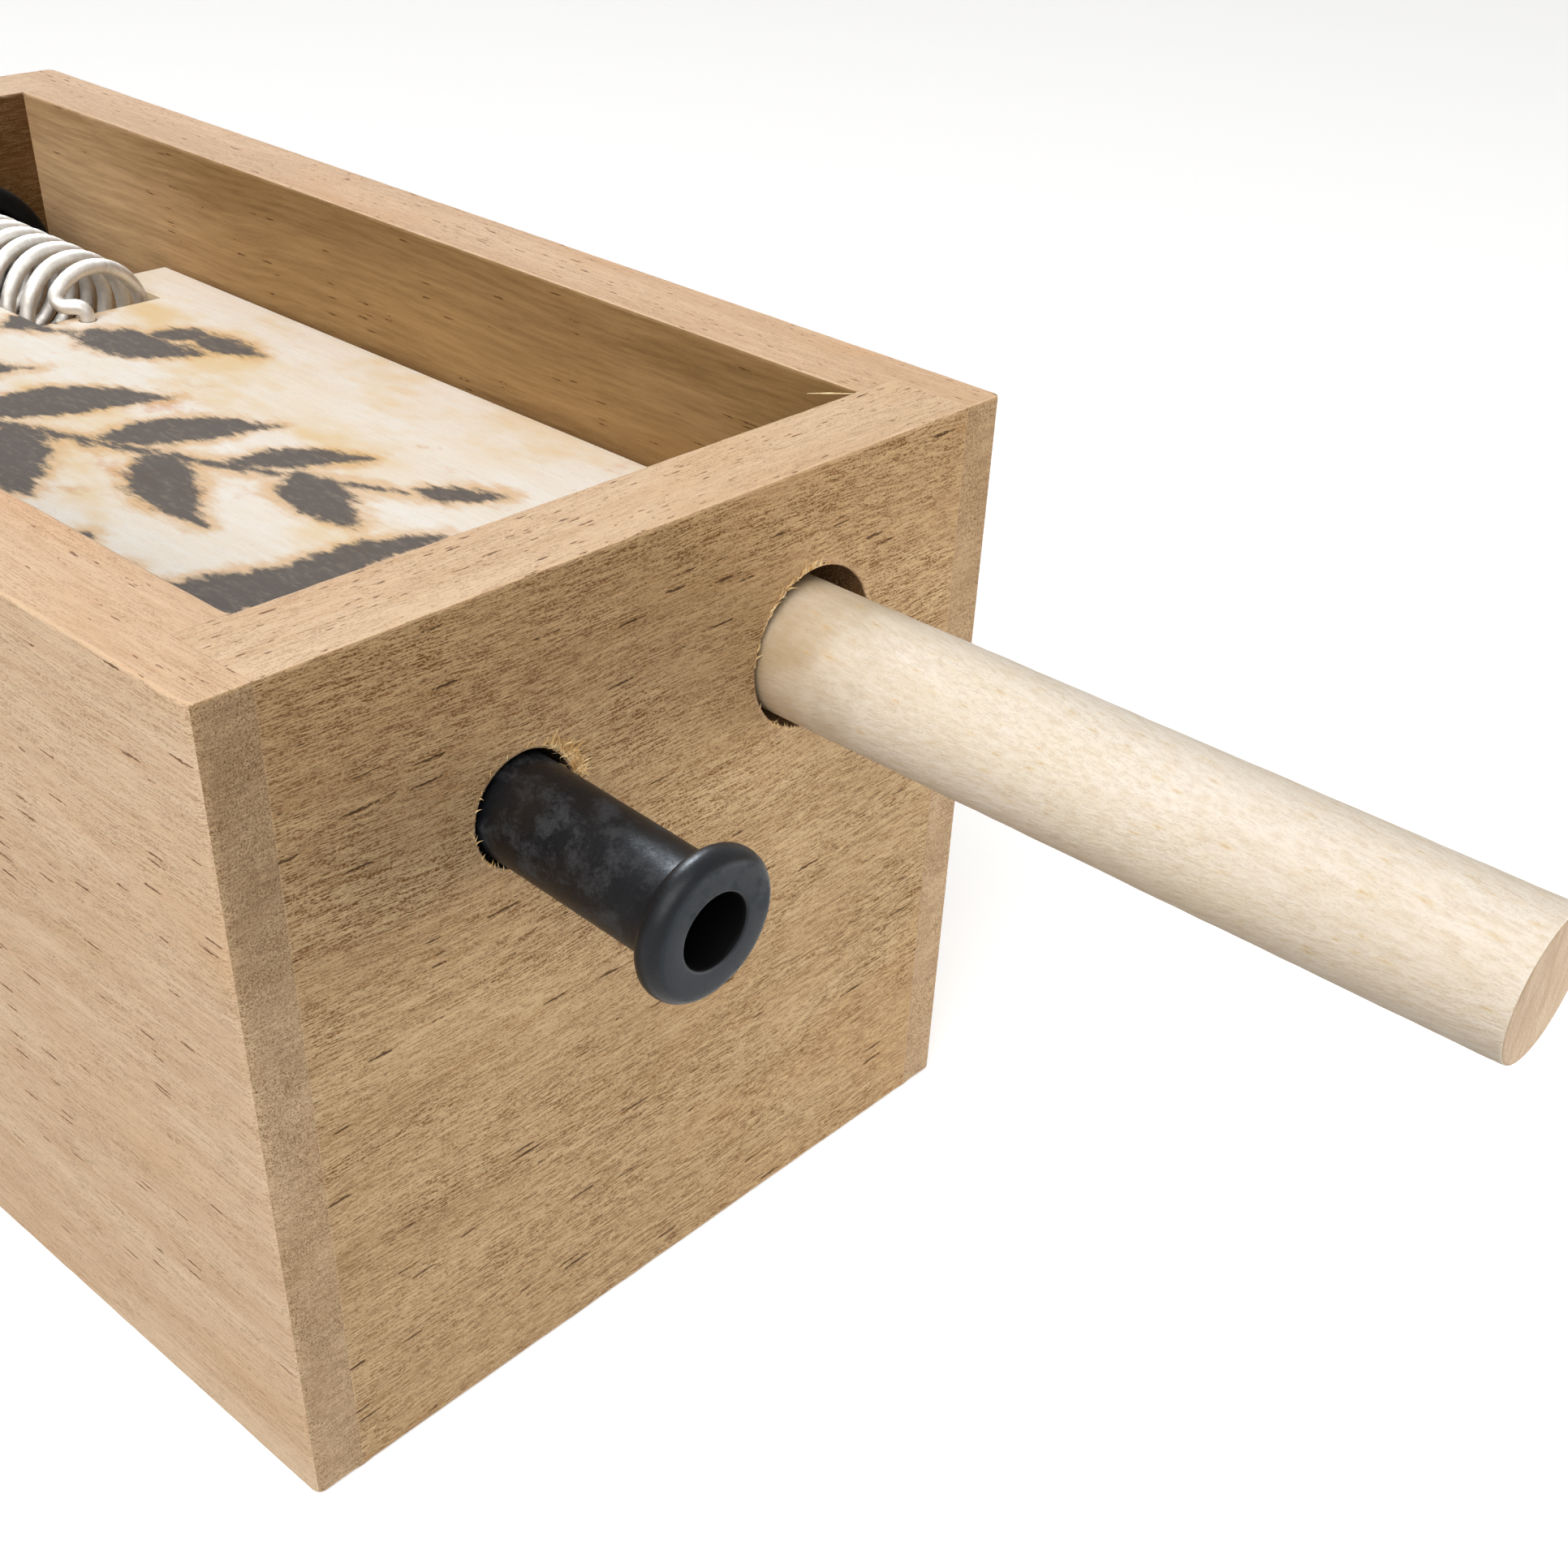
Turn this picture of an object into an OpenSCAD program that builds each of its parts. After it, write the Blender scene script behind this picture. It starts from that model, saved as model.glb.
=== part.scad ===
// Spring plunger toy box: an open wooden box whose sliding board is pushed in
// against a coil spring by a long dowel and let go again by a hollow push button.
// X runs along the box towards the dowel's free end, Y across it, Z up.
// The origin is at the middle of the box's underside. Millimetres throughout.

/* [Box] */
// Outside length of the box
box_length = 129; // [124:1:150]
// Outside width of the box
box_width = 70; // [66:1:90]
// Outside height of the box
box_height = 64; // [60:1:80]
// Thickness of the side panels
side_wall = 7.8; // [6.5:0.1:9]
// Thickness of the end panels
end_wall = 7.5; // [6.5:0.1:9]
// Thickness of the side panel's lip that covers the end panel's end grain
corner_lip = 4; // [3:0.1:5]
// Thickness of the bottom panel
bottom_thick = 6; // [4:0.5:8]
// Radius that the long edges of the panels are eased to
edge_round = 0.5; // [0.3:0.1:1]

/* [Slide board] */
// Depth of the board's printed face below the rim
board_drop = 12; // [11:0.5:14]
// Thickness of the board
board_thick = 11.8; // [11:0.1:13]
// Bare gap between the board's back edge and the far end panel
rear_gap = 23; // [23:0.5:30]
// Width of the slot that the board has round the button and latch
latch_slot = 15; // [14:0.5:17]
// Length of that slot
latch_slot_length = 20.7; // [20:0.1:22]
// Clearance between the board and the walls
board_gap = 0.4; // [0.3:0.1:0.8]
// How far the board travels inwards
board_travel = 13; // [10:0.5:13]
// Width of the ledge that carries each edge of the board
rail_width = 6; // [4:0.5:6]
// Height of that ledge
rail_height = 8; // [5:0.5:10]
// Gap between the ledges and the board's underside
rail_gap = 0.2; // [0.2:0.1:0.4]

/* [Push rod] */
// Diameter of the dowel
rod_diameter = 10.1; // [8:0.1:10.4]
// Length of dowel outside the box
rod_reach = 57; // [40:1:80]
// Length of dowel glued into the board's groove
rod_grip = 14.2; // [12:0.1:15]
// Height of the dowel's axis below the board's face
rod_drop = 1.8; // [1.4:0.1:2.4]
// Distance of the dowel's axis from the inside of the right-hand panel
rod_inset = 12.9; // [12.2:0.1:13.6]
// Diameter of the oversize hole that the dowel runs in
rod_hole = 12.2; // [12:0.1:13]
// How far the hole was drilled off the dowel's axis
rod_hole_shift = 0.7; // [0:0.1:0.7]
// Diameter of the two brads that pin the dowel down
brad_diameter = 1.2; // [1:0.1:1.6]

/* [Release button] */
// Outside diameter of the hollow button
button_diameter = 7.4; // [7:0.1:7.6]
// Bore through the button
button_bore = 5.2; // [4:0.1:5.4]
// Diameter of its flange
button_flange = 10.7; // [10:0.1:13]
// Thickness of its flange
flange_thick = 2.2; // [2:0.1:3]
// Radius of the fillet behind the flange
neck_fillet = 1.1; // [0.6:0.1:1.4]
// Distance along the button from the box to the flange's face
button_reach = 17; // [14:0.5:20]
// Length of button inside the box
button_tail = 4.5; // [4:0.1:5]
// How far the button is pressed
button_travel = 8; // [6:0.5:8]
// Degrees that the button hangs down at its flange, loose in its hole
button_droop = 3.3; // [0:0.1:3.4]
// Distance of the button's axis from the inside of the left-hand panel
button_inset = 14.7; // [14.5:0.1:15.2]
// Depth of the button's axis below the board's face
button_drop = 3.9; // [3.4:0.1:4.2]
// Diameter of the rough hole that the button slides in
button_hole = 8.5; // [8.2:0.1:9]
// Outside diameter of the retaining ring
ring_diameter = 12; // [11:0.5:13]
// Thickness of the retaining ring
ring_thick = 1; // [0.8:0.1:1.2]

/* [Main spring] */
// Outside diameter of the coil
coil_diameter = 12.6; // [12:0.1:12.8]
// Diameter of its wire
coil_wire = 1.4; // [1:0.1:1.5]
// Number of turns
coil_turns = 10; // [9:0.5:10.5]
// Pitch of the first turn over the mean pitch
coil_spread = 1.28; // [1:0.02:1.4]
// How deep the coil sits in the board's notch
notch_depth = 8.4; // [6:0.1:9]
// How far in front of the coil its wire enters the board
leg_length = 2.1; // [2.1:0.1:3.5]
// Depth to which the wire's tip is stuck into the board
leg_depth = 2.6; // [2:0.1:4]

/* [Spring cup] */
// Outside diameter of the cup on the far end panel
cup_diameter = 17.3; // [16.5:0.1:18]
// Length of the cup
cup_length = 9.5; // [8:0.5:9.5]
// Thickness of the cup's floor
cup_floor = 1.5; // [1.2:0.1:2]
// Clearance round the coil in the cup and in the notch
coil_gap = 0.35; // [0.2:0.05:0.4]
// Diameter of the screw that holds the cup
cup_screw_diameter = 3; // [2.5:0.1:3.5]

/* [Latch] */
// Width of the latch lever
latch_width = 7; // [6:0.5:8]
// Height of the pivot above the bottom panel
pivot_height = 24; // [23:0.5:25]
// Distance of the pivot from the end panel's inner face
pivot_back = 10.5; // [10:0.5:11]
// Diameter of the pivot pin
pin_diameter = 3; // [2.5:0.1:3.5]
// Width of the lever's upper arm
arm_width = 4.4; // [3.6:0.2:4.6]
// Radius of the pad that meets the button
pad_radius = 3.5; // [3:0.1:3.8]
// Height of the catch on the lever's nose
nose_height = 8.8; // [8:0.1:9.5]
// Outside diameter of the latch's return spring
latch_coil_diameter = 6; // [5:0.1:7]
// Diameter of its wire
latch_coil_wire = 0.7; // [0.5:0.1:0.9]
// Number of its turns
latch_coil_turns = 8; // [6:1:10]

/* [Hidden] */
$fn = 48;

// The inside of the box
inner_x = box_length / 2 - end_wall;
inner_y = box_width / 2 - side_wall;
end_x = box_length / 2;

// The board's face and underside, and the two axes that lie near its face
board_top = box_height - board_drop;
board_under = board_top - board_thick;
rail_top = board_under - rail_gap;
rod_y = inner_y - rod_inset;
rod_z = board_top - rod_drop;
button_y = -inner_y + button_inset;
button_z = board_top - button_drop;

// The board's ends, the slot's end and the notch's end along the box
front_stop = 0.3;
board_front = inner_x - front_stop;
board_back = -inner_x + rear_gap;
slot_end = board_front - latch_slot_length;
notch_end = board_back + notch_depth;

// The dowel
rod_tail = board_front - rod_grip;
rod_tip = end_x + rod_reach;
rod_chamfer = 0.25;
brad_head = 2.4;
brad_head_thick = 0.6;
brad_depth = 12.5;

// The button and its ring
tube_inner_end = inner_x - button_tail;
tube_length = end_x + button_reach - tube_inner_end;
ring_back = 0.6;
ring_bite = 0.3;
ring_x = inner_x - ring_back - ring_thick;
bore_chamfer = 0.35;

// The main coil: its ends, its mean radius and the place where it leaves the board
coil_radius = (coil_diameter - coil_wire) / 2;
coil_seat = 0.1;
coil_start_x = notch_end - coil_wire / 2 - coil_seat;
coil_end_x = -inner_x + cup_floor + coil_wire / 2;
coil_start_angle = 132;
coil_sides = 8;
coil_steps = 24;
leg_bend = 0.61 * coil_wire;
leg_run = 1.1 * coil_wire;
leg_rise = 0.85 * coil_wire;
leg_shift = 1.45;
leg_hole_gap = 0.15;

// The screws
screw_head = 5.6;
screw_head_thick = 1.6;
screw_bite = 5.5;

// The latch: pivot, pad and nose
latch_clear = 0.3;
pivot_x = inner_x - pivot_back;
pivot_z = bottom_thick + pivot_height;
pivot_gap = 0.05;
hub_radius = 5;
pad_x = tube_inner_end - latch_clear - pad_radius;
catch_margin = 1.5;
catch_x = slot_end - board_travel + catch_margin + latch_clear;
nose_top = board_under - 0.4;
nose_under = nose_top - nose_height;
nose_length = 9.2;
catch_length = 5.2;
lever_link = 6.5;

// The bracket that carries the pivot
cheek = 3.7;
bracket_reach = 16;
bracket_height = 12;
bracket_back = 4;
bracket_width = latch_width + 2 * latch_clear + 2 * cheek;
bracket_screw = 2.5;
bracket_screw_spread = 3;

// The latch spring stands in a shallow hole in the bottom panel
spring_hole = 2;
spring_hole_gap = 0.4;
latch_coil_x = catch_x + nose_length / 2 + 1.4;
latch_coil_low = bottom_thick - spring_hole;
stub_diameter = 3.6;
stub_length = 2;

// A rectangle with eased corners, centred
module eased_rect(size, r) {
    square([size[0] - 2 * r, size[1]], center = true);
    square([size[0], size[1] - 2 * r], center = true);
    for (sx = [-1, 1], sy = [-1, 1])
        translate([sx * (size[0] / 2 - r), sy * (size[1] / 2 - r)]) circle(r);
}

// A cylinder along +X that starts at x0 on the axis (y, z)
module rod_x(x0, x1, d, y, z) {
    translate([x0, y, z]) rotate([0, 90, 0]) cylinder(h = x1 - x0, d = d);
}

// A straight link between two points of the XZ plane, with round ends
module link(a, b, w) {
    run = norm(b - a);
    for (p = [a, b]) translate(p) circle(d = w);
    translate(a) rotate(atan2(b[1] - a[1], b[0] - a[0])) translate([0, -w / 2]) square([run, w]);
}

// Places a profile drawn in the XZ plane, centred on y with the given width
module slab_y(y, width) {
    translate([0, y + width / 2, 0]) rotate([90, 0, 0]) linear_extrude(width) children();
}

// A unit vector, and the part of a vector that is square to a tangent
function unit(v) = v / norm(v);
function square_to(v, t) = unit(v - (v * t) * t);

// A round wire swept along points; out[i] is a vector that points off the path at point i
module wire(path, out, d, sides) {
    count = len(path);
    ahead = [for (i = [0 : count - 1]) unit(path[min(i + 1, count - 1)] - path[max(i - 1, 0)])];
    points = [for (i = [0 : count - 1], k = [0 : sides - 1])
        let (n = square_to(out[i], ahead[i]), b = cross(ahead[i], n), a = 360 * k / sides)
        path[i] + d / 2 * (cos(a) * n + sin(a) * b)];
    skin = [for (i = [0 : count - 2], k = [0 : sides - 1])
        let (a = i * sides + k, b = i * sides + (k + 1) % sides)
        each [[a, a + sides, b + sides], [a, b + sides, b]]];
    near_cap = [for (k = [0 : sides - 1]) k];
    far_cap = [for (k = [sides - 1 : -1 : 0]) (count - 1) * sides + k];
    polyhedron(points, concat(skin, [near_cap, far_cap]), convexity = 10);
}

// One side panel, on the +Y side, rabbeted at both ends for the end panels
module side_panel() {
    difference() {
        intersection() {
            translate([0, box_width / 2 - side_wall / 2, box_height / 2]) rotate([90, 0, 90])
                linear_extrude(box_length, center = true) eased_rect([side_wall, box_height], edge_round);
            translate([0, box_width / 2 - side_wall / 2, -1])
                linear_extrude(box_height + 2) eased_rect([box_length, side_wall], edge_round / 2);
        }
        for (sx = [-1, 1])
            translate([sx * (end_x - end_wall / 2 + 1), inner_y + (side_wall - corner_lip) / 2 - 1, box_height / 2])
                cube([end_wall + 2, side_wall - corner_lip + 2, box_height + 2], center = true);
    }
}

// One end panel, on the +X side, without its holes
module end_panel() {
    width = box_width - 2 * corner_lip;
    translate([end_x - end_wall / 2, 0, box_height / 2]) rotate([90, 0, 0])
        linear_extrude(width, center = true) eased_rect([end_wall, box_height], edge_round);
}

module side_panel_left() {
    color("#b98f63") mirror([0, 1, 0]) side_panel();
}

module side_panel_right() {
    color("#b98f63") side_panel();
}

module end_panel_front() {
    color("#b08559") difference() {
        end_panel();
        rod_x(inner_x - 1, end_x + 1, rod_hole, rod_y + rod_hole_shift, rod_z);
        rod_x(inner_x - 1, end_x + 1, button_hole, button_y, button_z);
        for (sz = [-1, 1])
            rod_x(inner_x - 1, inner_x + screw_bite, bracket_screw, button_y, pivot_z + sz * bracket_screw_spread);
    }
}

module end_panel_back() {
    color("#b08559") difference() {
        mirror([1, 0, 0]) end_panel();
        rod_x(-inner_x - screw_bite, -inner_x + 1, cup_screw_diameter, rod_y, rod_z);
    }
}

module bottom_panel() {
    color("#a97f55") difference() {
        translate([0, 0, bottom_thick / 2]) cube([2 * inner_x, 2 * inner_y, bottom_thick], center = true);
        translate([latch_coil_x, button_y, latch_coil_low])
            cylinder(h = spring_hole + 1, d = latch_coil_diameter + 2 * spring_hole_gap);
    }
}

// The ledges that carry the board's long edges
module rail() {
    translate([0, inner_y - rail_width / 2, rail_top - rail_height / 2])
        cube([2 * inner_x, rail_width, rail_height], center = true);
}

module rail_left() {
    color("#c9a478") mirror([0, 1, 0]) rail();
}

module rail_right() {
    color("#c9a478") rail();
}

// The sliding board: slot for the button and latch, groove for the dowel, notch for the coil
module slide_board() {
    width = 2 * (inner_y - board_gap);
    color("#f1e6d2") difference() {
        translate([(board_front + board_back) / 2, 0, board_under + board_thick / 2]) rotate([90, 0, 0])
            linear_extrude(width, center = true)
                eased_rect([board_front - board_back, board_thick], edge_round);
        translate([slot_end, button_y - latch_slot / 2, board_under - 1])
            cube([latch_slot_length + 1, latch_slot, board_thick + 2]);
        rod_x(rod_tail, board_front + 1, rod_diameter, rod_y, rod_z);
        rod_x(board_back - 1, notch_end, coil_diameter + 2 * coil_gap, rod_y, rod_z);
        brad_holes(brad_diameter);
        translate([leg_tip()[0], leg_tip()[1], board_top - leg_depth - 1])
            cylinder(h = leg_depth + 2, d = coil_wire + 2 * leg_hole_gap);
    }
}

// The two brads stand on the dowel's axis, spread over its glued length
module brad_holes(d) {
    for (k = [1, 3])
        translate([rod_tail + rod_grip * k / 4, rod_y, rod_z + rod_diameter / 2 - brad_depth])
            cylinder(h = brad_depth + 1, d = d);
}

module push_rod() {
    color("#ead7b5") difference() {
        translate([rod_tail, rod_y, rod_z]) rotate([0, 90, 0]) rotate_extrude() {
            square([rod_diameter / 2, rod_tip - rod_tail - rod_chamfer]);
            translate([0, rod_tip - rod_tail - rod_chamfer]) polygon([[0, 0], [rod_diameter / 2, 0],
                [rod_diameter / 2 - rod_chamfer, rod_chamfer], [0, rod_chamfer]]);
        }
        brad_holes(brad_diameter);
        for (k = [1, 3])
            translate([rod_tail + rod_grip * k / 4, rod_y, rod_z + rod_diameter / 2 - brad_head_thick])
                cylinder(h = 2, d = brad_head);
    }
}

module rod_brads() {
    color("silver") for (k = [1, 3])
        translate([rod_tail + rod_grip * k / 4, rod_y, rod_z + rod_diameter / 2]) {
            translate([0, 0, -brad_depth]) cylinder(h = brad_depth - brad_head_thick / 2, d = brad_diameter);
            translate([0, 0, -brad_head_thick]) cylinder(h = brad_head_thick / 2, d = brad_head);
        }
}

// The coil's turns are wider at the board and close up towards the cup
function coil_x(u) = coil_start_x - (coil_start_x - coil_end_x) * (coil_spread * u + (1 - coil_spread) * u * u);
function coil_out(a) = [0, cos(a), sin(a)];
function coil_point(u) = let (a = coil_start_angle - 360 * coil_turns * u)
    [coil_x(u), rod_y, rod_z] + coil_radius * coil_out(a);

// Rounds the corner at p on the way from a to b, as a list of points on an arc of radius r
function bend(a, p, b, r) = let (u = unit(a - p), v = unit(b - p), half = acos(u * v) / 2,
    middle = p + unit(u + v) * r / sin(half), turn = 180 - 2 * half,
    from = p + u * r / tan(half) - middle, to = p + v * r / tan(half) - middle)
    [for (k = [0 : 4]) middle + (sin(turn * (1 - k / 4)) * from + sin(turn * k / 4) * to) / sin(turn)];

// The wire's first end leaves the coil backwards, crosses over and turns down into the board
function coil_way() = unit(coil_point(0.001) - coil_point(0));
function leg_side() = coil_point(0) - leg_run * coil_way();
function leg_top() = [coil_start_x + leg_length, coil_point(0)[1] + leg_shift, board_top + leg_rise];
function leg_tip() = [leg_top()[0], leg_top()[1], board_top - leg_depth];

module main_spring() {
    steps = round(coil_turns * coil_steps);
    leg = concat([leg_tip()], bend(leg_tip(), leg_top(), leg_side(), leg_bend),
                 bend(leg_top(), leg_side(), coil_point(0), leg_bend));
    turns = [for (i = [1 : steps]) coil_point(i / steps)];
    path = concat(leg, turns);
    out = [for (i = [0 : len(path) - 1])
        let (a = coil_start_angle - 360 * coil_turns * max(i - len(leg) + 1, 0) / steps) coil_out(a)];
    color("#b9bcc0") wire(path, out, coil_wire, coil_sides);
}

// The moulded cup that the coil's far end stands in
module spring_cup() {
    rim = 1.2;
    wall_in = coil_diameter / 2 + coil_gap;
    color("#1b1b1c") translate([-inner_x, rod_y, rod_z]) rotate([0, 90, 0]) rotate_extrude() difference() {
        union() {
            square([cup_diameter / 2, cup_length - rim]);
            square([cup_diameter / 2 - rim, cup_length]);
            translate([cup_diameter / 2 - rim, cup_length - rim]) circle(rim);
        }
        translate([-1, cup_floor]) square([wall_in + 1, cup_length]);
        translate([-1, -1]) square([cup_screw_diameter / 2 + 1, cup_floor + 2]);
    }
}

// A pan-headed wood screw along +X, whose head's underside is at x = 0 and whose shank runs to -X
module wood_screw(d, head, thick, shank) {
    rotate([0, -90, 0]) cylinder(h = shank, d = d);
    rotate([0, 90, 0]) cylinder(h = thick, d = head);
}

module cup_screw() {
    color("silver") translate([-inner_x + cup_floor, rod_y, rod_z])
        wood_screw(cup_screw_diameter, screw_head, screw_head_thick, cup_floor + screw_bite);
}

// Stands a shape drawn along Z on the button's drooping axis, from the place x inside the box
module on_button_axis(x) {
    translate([end_x, button_y, button_z]) rotate([0, 90 + button_droop, 0]) translate([0, 0, x - end_x])
        children();
}

// The hollow button, turned about its own axis from its inner end to the flange's face
module release_button() {
    r = button_diameter / 2;
    rim = flange_thick / 2;
    flange_at = tube_length - flange_thick;
    ring_at = ring_x - tube_inner_end;
    color("#26282b") on_button_axis(tube_inner_end) rotate_extrude()
        difference() {
            union() {
                square([r, tube_length]);
                translate([0, flange_at]) square([button_flange / 2 - rim, flange_thick]);
                translate([button_flange / 2 - rim, flange_at + rim]) circle(rim);
                difference() {
                    translate([0, flange_at - neck_fillet]) square([r + neck_fillet, neck_fillet]);
                    translate([r + neck_fillet, flange_at - neck_fillet]) circle(neck_fillet);
                }
            }
            translate([-1, -1]) square([button_bore / 2 + 1, tube_length + 2]);
            translate([r - ring_bite, ring_at]) square([ring_bite + 1, ring_thick]);
            translate([button_bore / 2, tube_length])
                polygon([[-1, 1], [-1, -bore_chamfer], [0, -bore_chamfer], [bore_chamfer + 1, 1]]);
        }
}

// The open spring ring that keeps the button from being pulled out
module button_ring() {
    r = button_diameter / 2 - ring_bite;
    gap = 5;
    color("silver") on_button_axis(ring_x) difference() {
        cylinder(h = ring_thick, d = ring_diameter);
        translate([0, 0, -1]) cylinder(h = ring_thick + 2, r = r);
        translate([0, -gap / 2, -1]) cube([ring_diameter, gap, ring_thick + 2]);
    }
}

// The latch lever: an upper arm with a pad behind the button, and a nose under the board
module latch_lever() {
    pivot = [pivot_x, pivot_z];
    heel = [catch_x + nose_length, nose_under + lever_link / 2];
    color("#d8b98a") difference() {
        union() {
            slab_y(button_y, latch_width) {
                translate(pivot) circle(hub_radius);
                link(pivot, [pad_x, button_z], arm_width);
                translate([pad_x, button_z]) circle(pad_radius);
                link(pivot, heel, lever_link);
                translate([catch_x, nose_under]) polygon([[0, 0], [nose_length, 0], [nose_length, lever_link],
                    [catch_length, nose_height], [0.6, nose_height], [0, nose_height - 0.6]]);
            }
            translate([latch_coil_x, button_y, nose_under - stub_length])
                cylinder(h = stub_length + 1, d = stub_diameter);
        }
        translate([pivot_x, button_y + latch_width, pivot_z]) rotate([90, 0, 0])
            cylinder(h = 2 * latch_width, d = pin_diameter + 2 * pivot_gap);
    }
}

module latch_pin() {
    color("silver") translate([pivot_x, button_y + bracket_width / 2, pivot_z]) rotate([90, 0, 0])
        cylinder(h = bracket_width, d = pin_diameter);
}

// A forked block screwed to the inside of the front panel
module latch_bracket() {
    fork = latch_width + 2 * latch_clear;
    color("#c9a478") difference() {
        translate([inner_x - bracket_reach, button_y - bracket_width / 2, pivot_z - bracket_height / 2])
            cube([bracket_reach, bracket_width, bracket_height]);
        translate([inner_x - bracket_reach - 1, button_y - fork / 2, pivot_z - bracket_height / 2 - 1])
            cube([bracket_reach - bracket_back + 1, fork, bracket_height + 2]);
        translate([pivot_x, button_y + bracket_width, pivot_z]) rotate([90, 0, 0])
            cylinder(h = 2 * bracket_width, d = pin_diameter);
        for (sz = [-1, 1])
            rod_x(inner_x - bracket_back - 1, inner_x + 1, bracket_screw, button_y,
                  pivot_z + sz * bracket_screw_spread);
    }
}

module bracket_screws() {
    color("silver") for (sz = [-1, 1])
        translate([inner_x - bracket_back, button_y, pivot_z + sz * bracket_screw_spread]) mirror([1, 0, 0])
            wood_screw(bracket_screw, bracket_screw * 1.9, 0.9, bracket_back + screw_bite);
}

// The return spring that lifts the nose and pushes the button out again
module latch_spring() {
    radius = (latch_coil_diameter - latch_coil_wire) / 2;
    low = latch_coil_low + latch_coil_wire / 2;
    high = nose_under - latch_coil_wire / 2;
    steps = latch_coil_turns * 16;
    path = [for (i = [0 : steps]) let (a = 360 * latch_coil_turns * i / steps)
        [latch_coil_x + radius * cos(a), button_y + radius * sin(a), low + (high - low) * i / steps]];
    out = [for (i = [0 : steps]) let (a = 360 * latch_coil_turns * i / steps) [cos(a), sin(a), 0]];
    color("#b9bcc0") wire(path, out, latch_coil_wire, 6);
}

side_panel_left();
side_panel_right();
end_panel_front();
end_panel_back();
bottom_panel();
rail_left();
rail_right();
slide_board();
push_rod();
rod_brads();
main_spring();
spring_cup();
cup_screw();
release_button();
button_ring();
latch_lever();
latch_pin();
latch_bracket();
bracket_screws();
latch_spring();
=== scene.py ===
import math

import bmesh
import bpy
import numpy as np
from mathutils import Matrix, Quaternion, Vector, noise


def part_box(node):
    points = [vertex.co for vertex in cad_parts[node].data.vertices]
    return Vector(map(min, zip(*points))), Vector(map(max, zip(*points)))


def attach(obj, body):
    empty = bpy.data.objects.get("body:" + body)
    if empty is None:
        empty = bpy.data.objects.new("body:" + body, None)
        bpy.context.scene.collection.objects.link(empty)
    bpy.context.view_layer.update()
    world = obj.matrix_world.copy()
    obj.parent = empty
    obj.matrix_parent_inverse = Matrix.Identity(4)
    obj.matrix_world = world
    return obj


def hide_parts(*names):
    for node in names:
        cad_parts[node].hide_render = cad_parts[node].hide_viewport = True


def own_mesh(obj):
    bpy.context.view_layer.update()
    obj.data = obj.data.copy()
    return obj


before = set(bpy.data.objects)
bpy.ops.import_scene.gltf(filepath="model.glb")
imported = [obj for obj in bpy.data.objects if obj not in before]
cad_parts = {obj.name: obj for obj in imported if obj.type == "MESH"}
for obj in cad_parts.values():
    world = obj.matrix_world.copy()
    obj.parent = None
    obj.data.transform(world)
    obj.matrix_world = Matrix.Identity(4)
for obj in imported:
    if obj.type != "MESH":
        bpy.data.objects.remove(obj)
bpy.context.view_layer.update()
scene = bpy.context.scene
MM = 0.001


# ---- Stage -----------------------------------------------------------------------------------
# A pale floor and a white surround, lit by one large soft lamp over the box's left-hand front
# corner, two small cards and the surround itself. The camera looks down over the same corner.

CAMERA_PLACE = Vector((147.19, -82.04, 114.28)) * MM
CAMERA_AIM = Vector((-0.50462, 0.61326, -0.60768))
CAMERA_ROLL = math.radians(3.60)
FOCAL_LENGTH = 44.59
SHIFT = (-0.0235, 0.1486)

camera = bpy.data.objects.new("camera", bpy.data.cameras.new("camera"))
camera.data.sensor_width = 36
camera.data.lens = FOCAL_LENGTH
camera.data.shift_x, camera.data.shift_y = SHIFT
camera.data.clip_start, camera.data.clip_end = 0.01, 10
camera.rotation_mode = "QUATERNION"
camera.location = CAMERA_PLACE
camera.rotation_quaternion = CAMERA_AIM.to_track_quat("-Z", "Y") @ Quaternion((0, 0, 1), CAMERA_ROLL)
scene.collection.objects.link(camera)
scene.camera = camera
scene.view_settings.view_transform = "Standard"

LAMP_WAY = Vector((0.33, -0.60, 0.72)).normalized()
LAMP_DISTANCE = 0.9
LAMP_SIZE = 0.75
LAMP_POWER = 7.2
SURROUND = 0.38


def soft_light(name, place, aim, size, power):
    """A square area lamp at a place, facing another."""
    made = bpy.data.objects.new(name, bpy.data.lights.new(name, "AREA"))
    made.data.energy = power
    made.data.size = size
    made.location = place
    made.rotation_mode = "QUATERNION"
    made.rotation_quaternion = (place - aim).to_track_quat("Z", "Y")
    made.visible_camera = False
    scene.collection.objects.link(made)
    return made


soft_light("soft_lamp", LAMP_WAY * LAMP_DISTANCE, Vector((0, 0, 0)), LAMP_SIZE, LAMP_POWER)
# A low card in front of the right-hand corner fills the front's lower right.
soft_light("low_card", Vector((0.17, 0.075, 0.012)), Vector((0.065, 0.02, 0.02)), 0.09, 0.13)
# A small card behind and above gives the black plastic its sheen, and lights nothing else.
sheen = soft_light("sheen_card", Vector((-0.34, 0.17, 0.46)), Vector((0.07, -0.0125, 0.048)), 0.16, 5.5)
sheen.data.color = (0.82, 0.91, 1.0)
sheen.visible_diffuse = False


def paint(code):
    """A colour written as sRGB hex, as the linear values that a socket takes."""
    parts = [int(code[i:i + 2], 16) / 255 for i in (0, 2, 4)]
    return [c / 12.92 if c <= 0.04045 else ((c + 0.055) / 1.055) ** 2.4 for c in parts] + [1.0]


def feed(tree, taker, values):
    """Gives a node's sockets their values, or the outputs that feed them."""
    for key, value in values.items():
        if isinstance(value, bpy.types.NodeSocket):
            tree.links.new(value, taker.inputs[key])
        else:
            taker.inputs[key].default_value = value


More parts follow.
